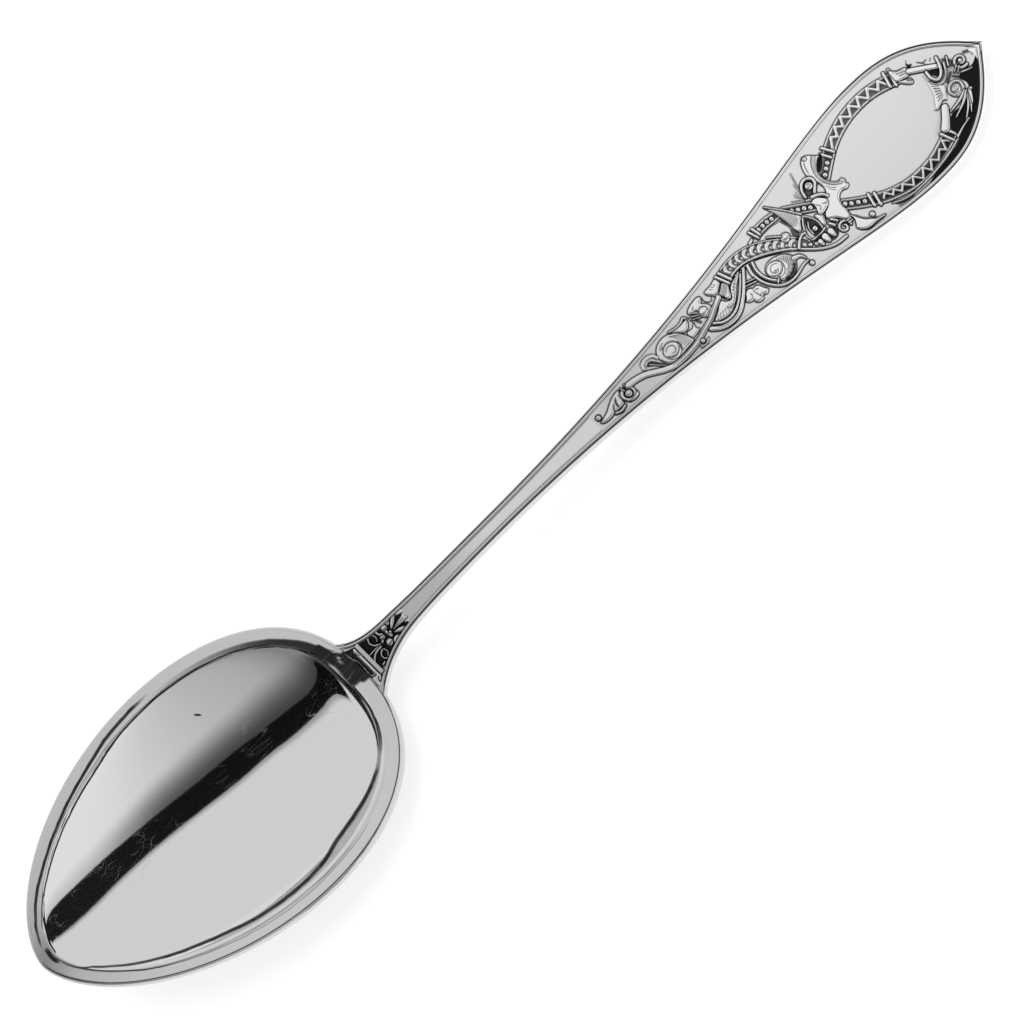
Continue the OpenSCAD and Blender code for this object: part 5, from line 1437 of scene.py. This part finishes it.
def ceiling_material(height, tone):
    """Soft box seen in reflections: a dark slot along the spoon, paler on one side and greyer on the other.

    Places are steps along and across as shares of the ceiling's height. Brightness is worked out as the eye
    sees it, then raised to 2.2 and divided by the silver's tone.
    """
    material = bpy.data.materials.new("soft_box")
    g = Graph(material)
    place = g.add("ShaderNodeSeparateXYZ", {"Vector": g.add("ShaderNodeTexCoord").outputs["Object"]}).outputs
    along = g.math("DIVIDE", place["X"], height)
    across = g.math("DIVIDE", place["Y"], height)
    upper = g.curve(along, SLOT_UPPER)
    lower = g.curve(along, SLOT_LOWER)
    above = g.math("SUBTRACT", across, upper)
    below = g.math("SUBTRACT", lower, across)
    fade = g.curve(along, [(-1.6, 0.22), (-0.7, 0.14), (-0.1, 0.09), (0.5, 0.07), (1.6, 0.07)])
    bright = g.ramp(g.math("DIVIDE", above, fade), 0.0, 1.0, 0.58, 0.8, "SMOOTHERSTEP")
    start = g.curve(along, [(-1.6, 0.24), (-0.3, 0.24), (0.3, 0.3), (0.6, 0.5), (0.9, 0.72), (1.6, 0.8)])
    end = g.curve(along, [(-1.6, 0.5), (-0.9, 0.59), (-0.5, 0.66), (-0.1, 0.7), (0.3, 0.77), (0.9, 0.86),
                          (1.6, 0.86)])
    reach = g.curve(along, [(-1.6, 0.7), (-0.5, 0.55), (-0.1, 0.45), (0.4, 0.4), (0.9, 0.3), (1.6, 0.3)])
    share = g.ramp(g.math("DIVIDE", below, reach), -0.05, 1.0)
    grey = g.add("ShaderNodeMix", {0: share, 2: start, 3: end}).outputs[0]
    slot = g.math("MULTIPLY", *(g.ramp(out, -SLOT_SOFT, SLOT_SOFT, 1.0, 0.0) for out in (above, below)))
    side = g.ramp(above, -SLOT_SOFT, SLOT_SOFT)
    seen = g.add("ShaderNodeMix", {0: side, 2: grey, 3: bright}).outputs[0]
    seen = g.math("MULTIPLY", seen, g.math("SUBTRACT", 1.0, g.math("MULTIPLY", slot, 0.9)))
    light = g.math("DIVIDE", g.math("POWER", seen, 2.2), tone)
    emission = g.add("ShaderNodeEmission", {"Strength": light}).outputs["Emission"]
    g.add("ShaderNodeOutputMaterial", {"Surface": emission})
    return material


# Operators


class SPOON_OT_body(bpy.types.Operator):
    """Build the bowl, drop, stem and handle as one smooth body"""

    bl_idname = "spoon.body"
    bl_label = "Build body"

    def execute(self, context):
        """Joins the closed shells of bowl, drop and handle into one mesh by union."""
        form = standing_form(context)
        detail = context.scene.spoon_detail
        shells = [bowl_shell(form, detail.bowl_angles), drop_shell(form), handle_shell(form, detail.stations)]
        items = []
        for k, (points, quads, triangles) in enumerate(shells):
            mesh = make_mesh(f"part_{k}", points, quads, triangles)
            items.append(add_object(context, "spoon_body" if k == 0 else mesh.name, mesh))
        body = items[0]
        for other in items[1:]:
            union = body.modifiers.new("union", "BOOLEAN")
            union.operation = "UNION"
            union.solver = "MANIFOLD"
            union.object = other
        context.view_layer.update()
        joined = bpy.data.meshes.new_from_object(body.evaluated_get(context.evaluated_depsgraph_get()))
        body.modifiers.clear()
        body.data = joined
        for other in items[1:]:
            bpy.data.objects.remove(other)
        if len(joined.polygons) == 0:
            raise RuntimeError("the union of the body's shells came out empty")
        points = np.empty(len(joined.vertices) * 3, np.float32)
        joined.vertices.foreach_get("co", points)
        points = points.reshape(-1, 3).astype(float) / MM
        give_values(joined, "darkness", body_darkness(form, points))
        give_values(joined, "rim", rim_values(form, points))
        joined.polygons.foreach_set("use_smooth", np.ones(len(joined.polygons), bool))
        dress(body, BODY_CRISP)
        return {"FINISHED"}


class SPOON_OT_relief(bpy.types.Operator):
    """Build the struck ornament on the handle as five thin plates"""

    bl_idname = "spoon.relief"
    bl_label = "Build handle relief"

    def execute(self, context):
        """Carves one height field and lays it over plates, each one starting just under the end of the one before."""
        form = standing_form(context)
        detail = context.scene.spoon_detail
        c = Carving(16, 105.2, 11.8, detail.cell / MM, form.drawn_stretch)
        for carve in (carve_sprig, carve_scrolls, carve_body, carve_frame, carve_wing, carve_beast, carve_end):
            carve(c)
        c.settle()
        step = detail.relief_step / MM
        ends = (*SEAMS, form.end_x - END_SPACE)
        for k, (low, high) in enumerate(zip(ends[:-1], ends[1:])):
            rows = round((high - low) / step)
            lines = round(2 * form.half(np.linspace(low, high, 9)).max() / step)
            first = (0.03, 0.7) if k == 0 else (0.002, 0.06)
            last = (0.03 if k == len(ends) - 2 else 0.0, 0.7)
            start = low if k == 0 else low - first[1]
            parts = plate(form, c, start, high, rows, lines, form.relief, (first, last))
            add_plate(context, f"relief_{k + 1}", parts, lambda x: smooth((x - SEAMS[0] - 0.2) / 5))
        return {"FINISHED"}


class SPOON_OT_palmette(bpy.types.Operator):
    """Build the palmette on the neck as a thin plate"""

    bl_idname = "spoon.palmette"
    bl_label = "Build neck palmette"

    def execute(self, context):
        """Carves the palmette and lays it over the neck's ground."""
        form = standing_form(context)
        sunk = ((0.0, 1.0), (0.03, 0.7))
        parts = plate(form, neck_carving(), form.heel_x - 0.4, NECK_END, 250, 140, form.relief, sunk)
        add_plate(context, "neck_palmette", parts, lambda x: smooth((NECK_END - 0.2 - x) / 3))
        return {"FINISHED"}


class SPOON_OT_stage(bpy.types.Operator):
    """Set the surroundings, the floor, the light, the painted ceiling and the camera"""

    bl_idname = "spoon.stage"
    bl_label = "Set the stage"

    def execute(self, context):
        """White surroundings and floor, one soft light, a ceiling seen only in reflections, and the camera."""
        scene = context.scene
        stage = scene.spoon_stage
        scene.view_settings.view_transform = "Standard"
        world = bpy.data.worlds.new("surroundings")
        scene.world = world
        g = Graph(world)
        ray = g.add("ShaderNodeLightPath").outputs
        seen = g.most([ray["Is Camera Ray"], ray["Is Glossy Ray"], ray["Is Transmission Ray"]])
        dim, white = (g.add("ShaderNodeBackground", {"Color": (1, 1, 1, 1), "Strength": strength})
                      for strength in (WORLD_LIGHT, 1.0))
        inputs = {0: seen, 1: dim.outputs["Background"], 2: white.outputs["Background"]}
        blend = g.add("ShaderNodeMixShader", inputs).outputs["Shader"]
        g.add("ShaderNodeOutputWorld", {"Surface": blend})

        floor = flat_card(context, "floor", 6, -0.0002, floor_material())
        light = bpy.data.lights.new("key", "AREA")
        light.shape = "DISK"
        light.size = KEY_SIZE
        light.energy = stage.key_power
        key = bpy.data.objects.new("key", light)
        scene.collection.objects.link(key)
        key.location = KEY_PLACE
        key.rotation_euler = (Vector((0, 0, 0)) - key.location).to_track_quat("-Z", "Y").to_euler()
        key.visible_glossy = False
        painted = ceiling_material(stage.ceiling_height, scene.spoon_finish.tone)
        ceiling = flat_card(context, "ceiling", 12, stage.ceiling_height, painted)
        for kind in ("camera", "diffuse", "shadow", "transmission"):
            setattr(ceiling, "visible_" + kind, False)

        camera = bpy.data.objects.new("camera", bpy.data.cameras.new("camera"))
        scene.collection.objects.link(camera)
        scene.camera = camera
        camera.data.lens = stage.lens
        camera.data.sensor_width = 36
        camera.data.clip_start = 0.05
        camera.data.clip_end = 20
        back = Vector((0, -math.sin(stage.tilt), math.cos(stage.tilt)))
        along = Vector((1, 0, 0))
        across = Vector((0, math.cos(stage.tilt), math.sin(stage.tilt)))
        right = math.cos(stage.turn) * along - math.sin(stage.turn) * across
        up = math.sin(stage.turn) * along + math.cos(stage.turn) * across
        turned = Matrix((right, up, back)).transposed().to_4x4()
        aim = Vector((stage.aim_x, 0, 0.006)) + across * stage.aim_y
        camera.matrix_world = Matrix.Translation(aim + back * stage.distance) @ turned
        return {"FINISHED"}


def flat_card(context, name, size, height, material):
    """Flat level square over the origin, at a height."""
    a, z = size / 2, height
    mesh = bpy.data.meshes.new(name)
    mesh.from_pydata([(-a, -a, z), (a, -a, z), (a, a, z), (-a, a, z)], [], [(0, 1, 2, 3)])
    mesh.materials.append(material)
    return add_object(context, name, mesh)


def standing_form(context):
    """Form of the spoon, set so that its lowest point touches the table."""
    form = Form(context.scene.spoon_form)
    bowl = bowl_shell(form, 96)[0]
    x = form.fine_x[(form.fine_x > form.lobe_x - 20) & (form.fine_x < form.end_x)]
    form.lift = -float(min(bowl[:, 2].min(), (form.face(x) - form.thick(x)).min()))
    return form


class SPOON_PT_panel(bpy.types.Panel):
    """Sidebar panel with the settings and a button for each step"""

    bl_label = "Silver table spoon"
    bl_idname = "SPOON_PT_panel"
    bl_space_type = "VIEW_3D"
    bl_region_type = "UI"
    bl_category = "Spoon"

    def draw(self, context):
        """Lists every setting, then the buttons."""
        for group in GROUPS:
            box = self.layout.box()
            box.label(text=group.replace("_", " ").capitalize())
            settings = getattr(context.scene, group)
            for name in type(settings).__annotations__:
                box.prop(settings, name)
        for operator in (SPOON_OT_body, SPOON_OT_relief, SPOON_OT_palmette, SPOON_OT_stage):
            self.layout.operator(operator.bl_idname)


GROUPS = {
    "spoon_form": SPOON_PG_form, "spoon_detail": SPOON_PG_detail, "spoon_finish": SPOON_PG_finish,
    "spoon_stage": SPOON_PG_stage,
}
CLASSES = (*GROUPS.values(), SPOON_OT_body, SPOON_OT_relief, SPOON_OT_palmette, SPOON_OT_stage, SPOON_PT_panel)


def register():
    """Registers the classes and hangs the settings on the scene."""
    for item in CLASSES:
        bpy.utils.register_class(item)
    for name, group in GROUPS.items():
        setattr(bpy.types.Scene, name, PointerProperty(type=group))


def unregister():
    """Takes the settings and classes away again."""
    for name in GROUPS:
        delattr(bpy.types.Scene, name)
    for item in reversed(CLASSES):
        bpy.utils.unregister_class(item)


def main():
    """Registers the add-on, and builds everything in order."""
    register()
    bpy.ops.spoon.body()
    bpy.ops.spoon.relief()
    bpy.ops.spoon.palmette()
    bpy.ops.spoon.stage()
    bpy.context.view_layer.update()


if __name__ == "__main__":
    main()
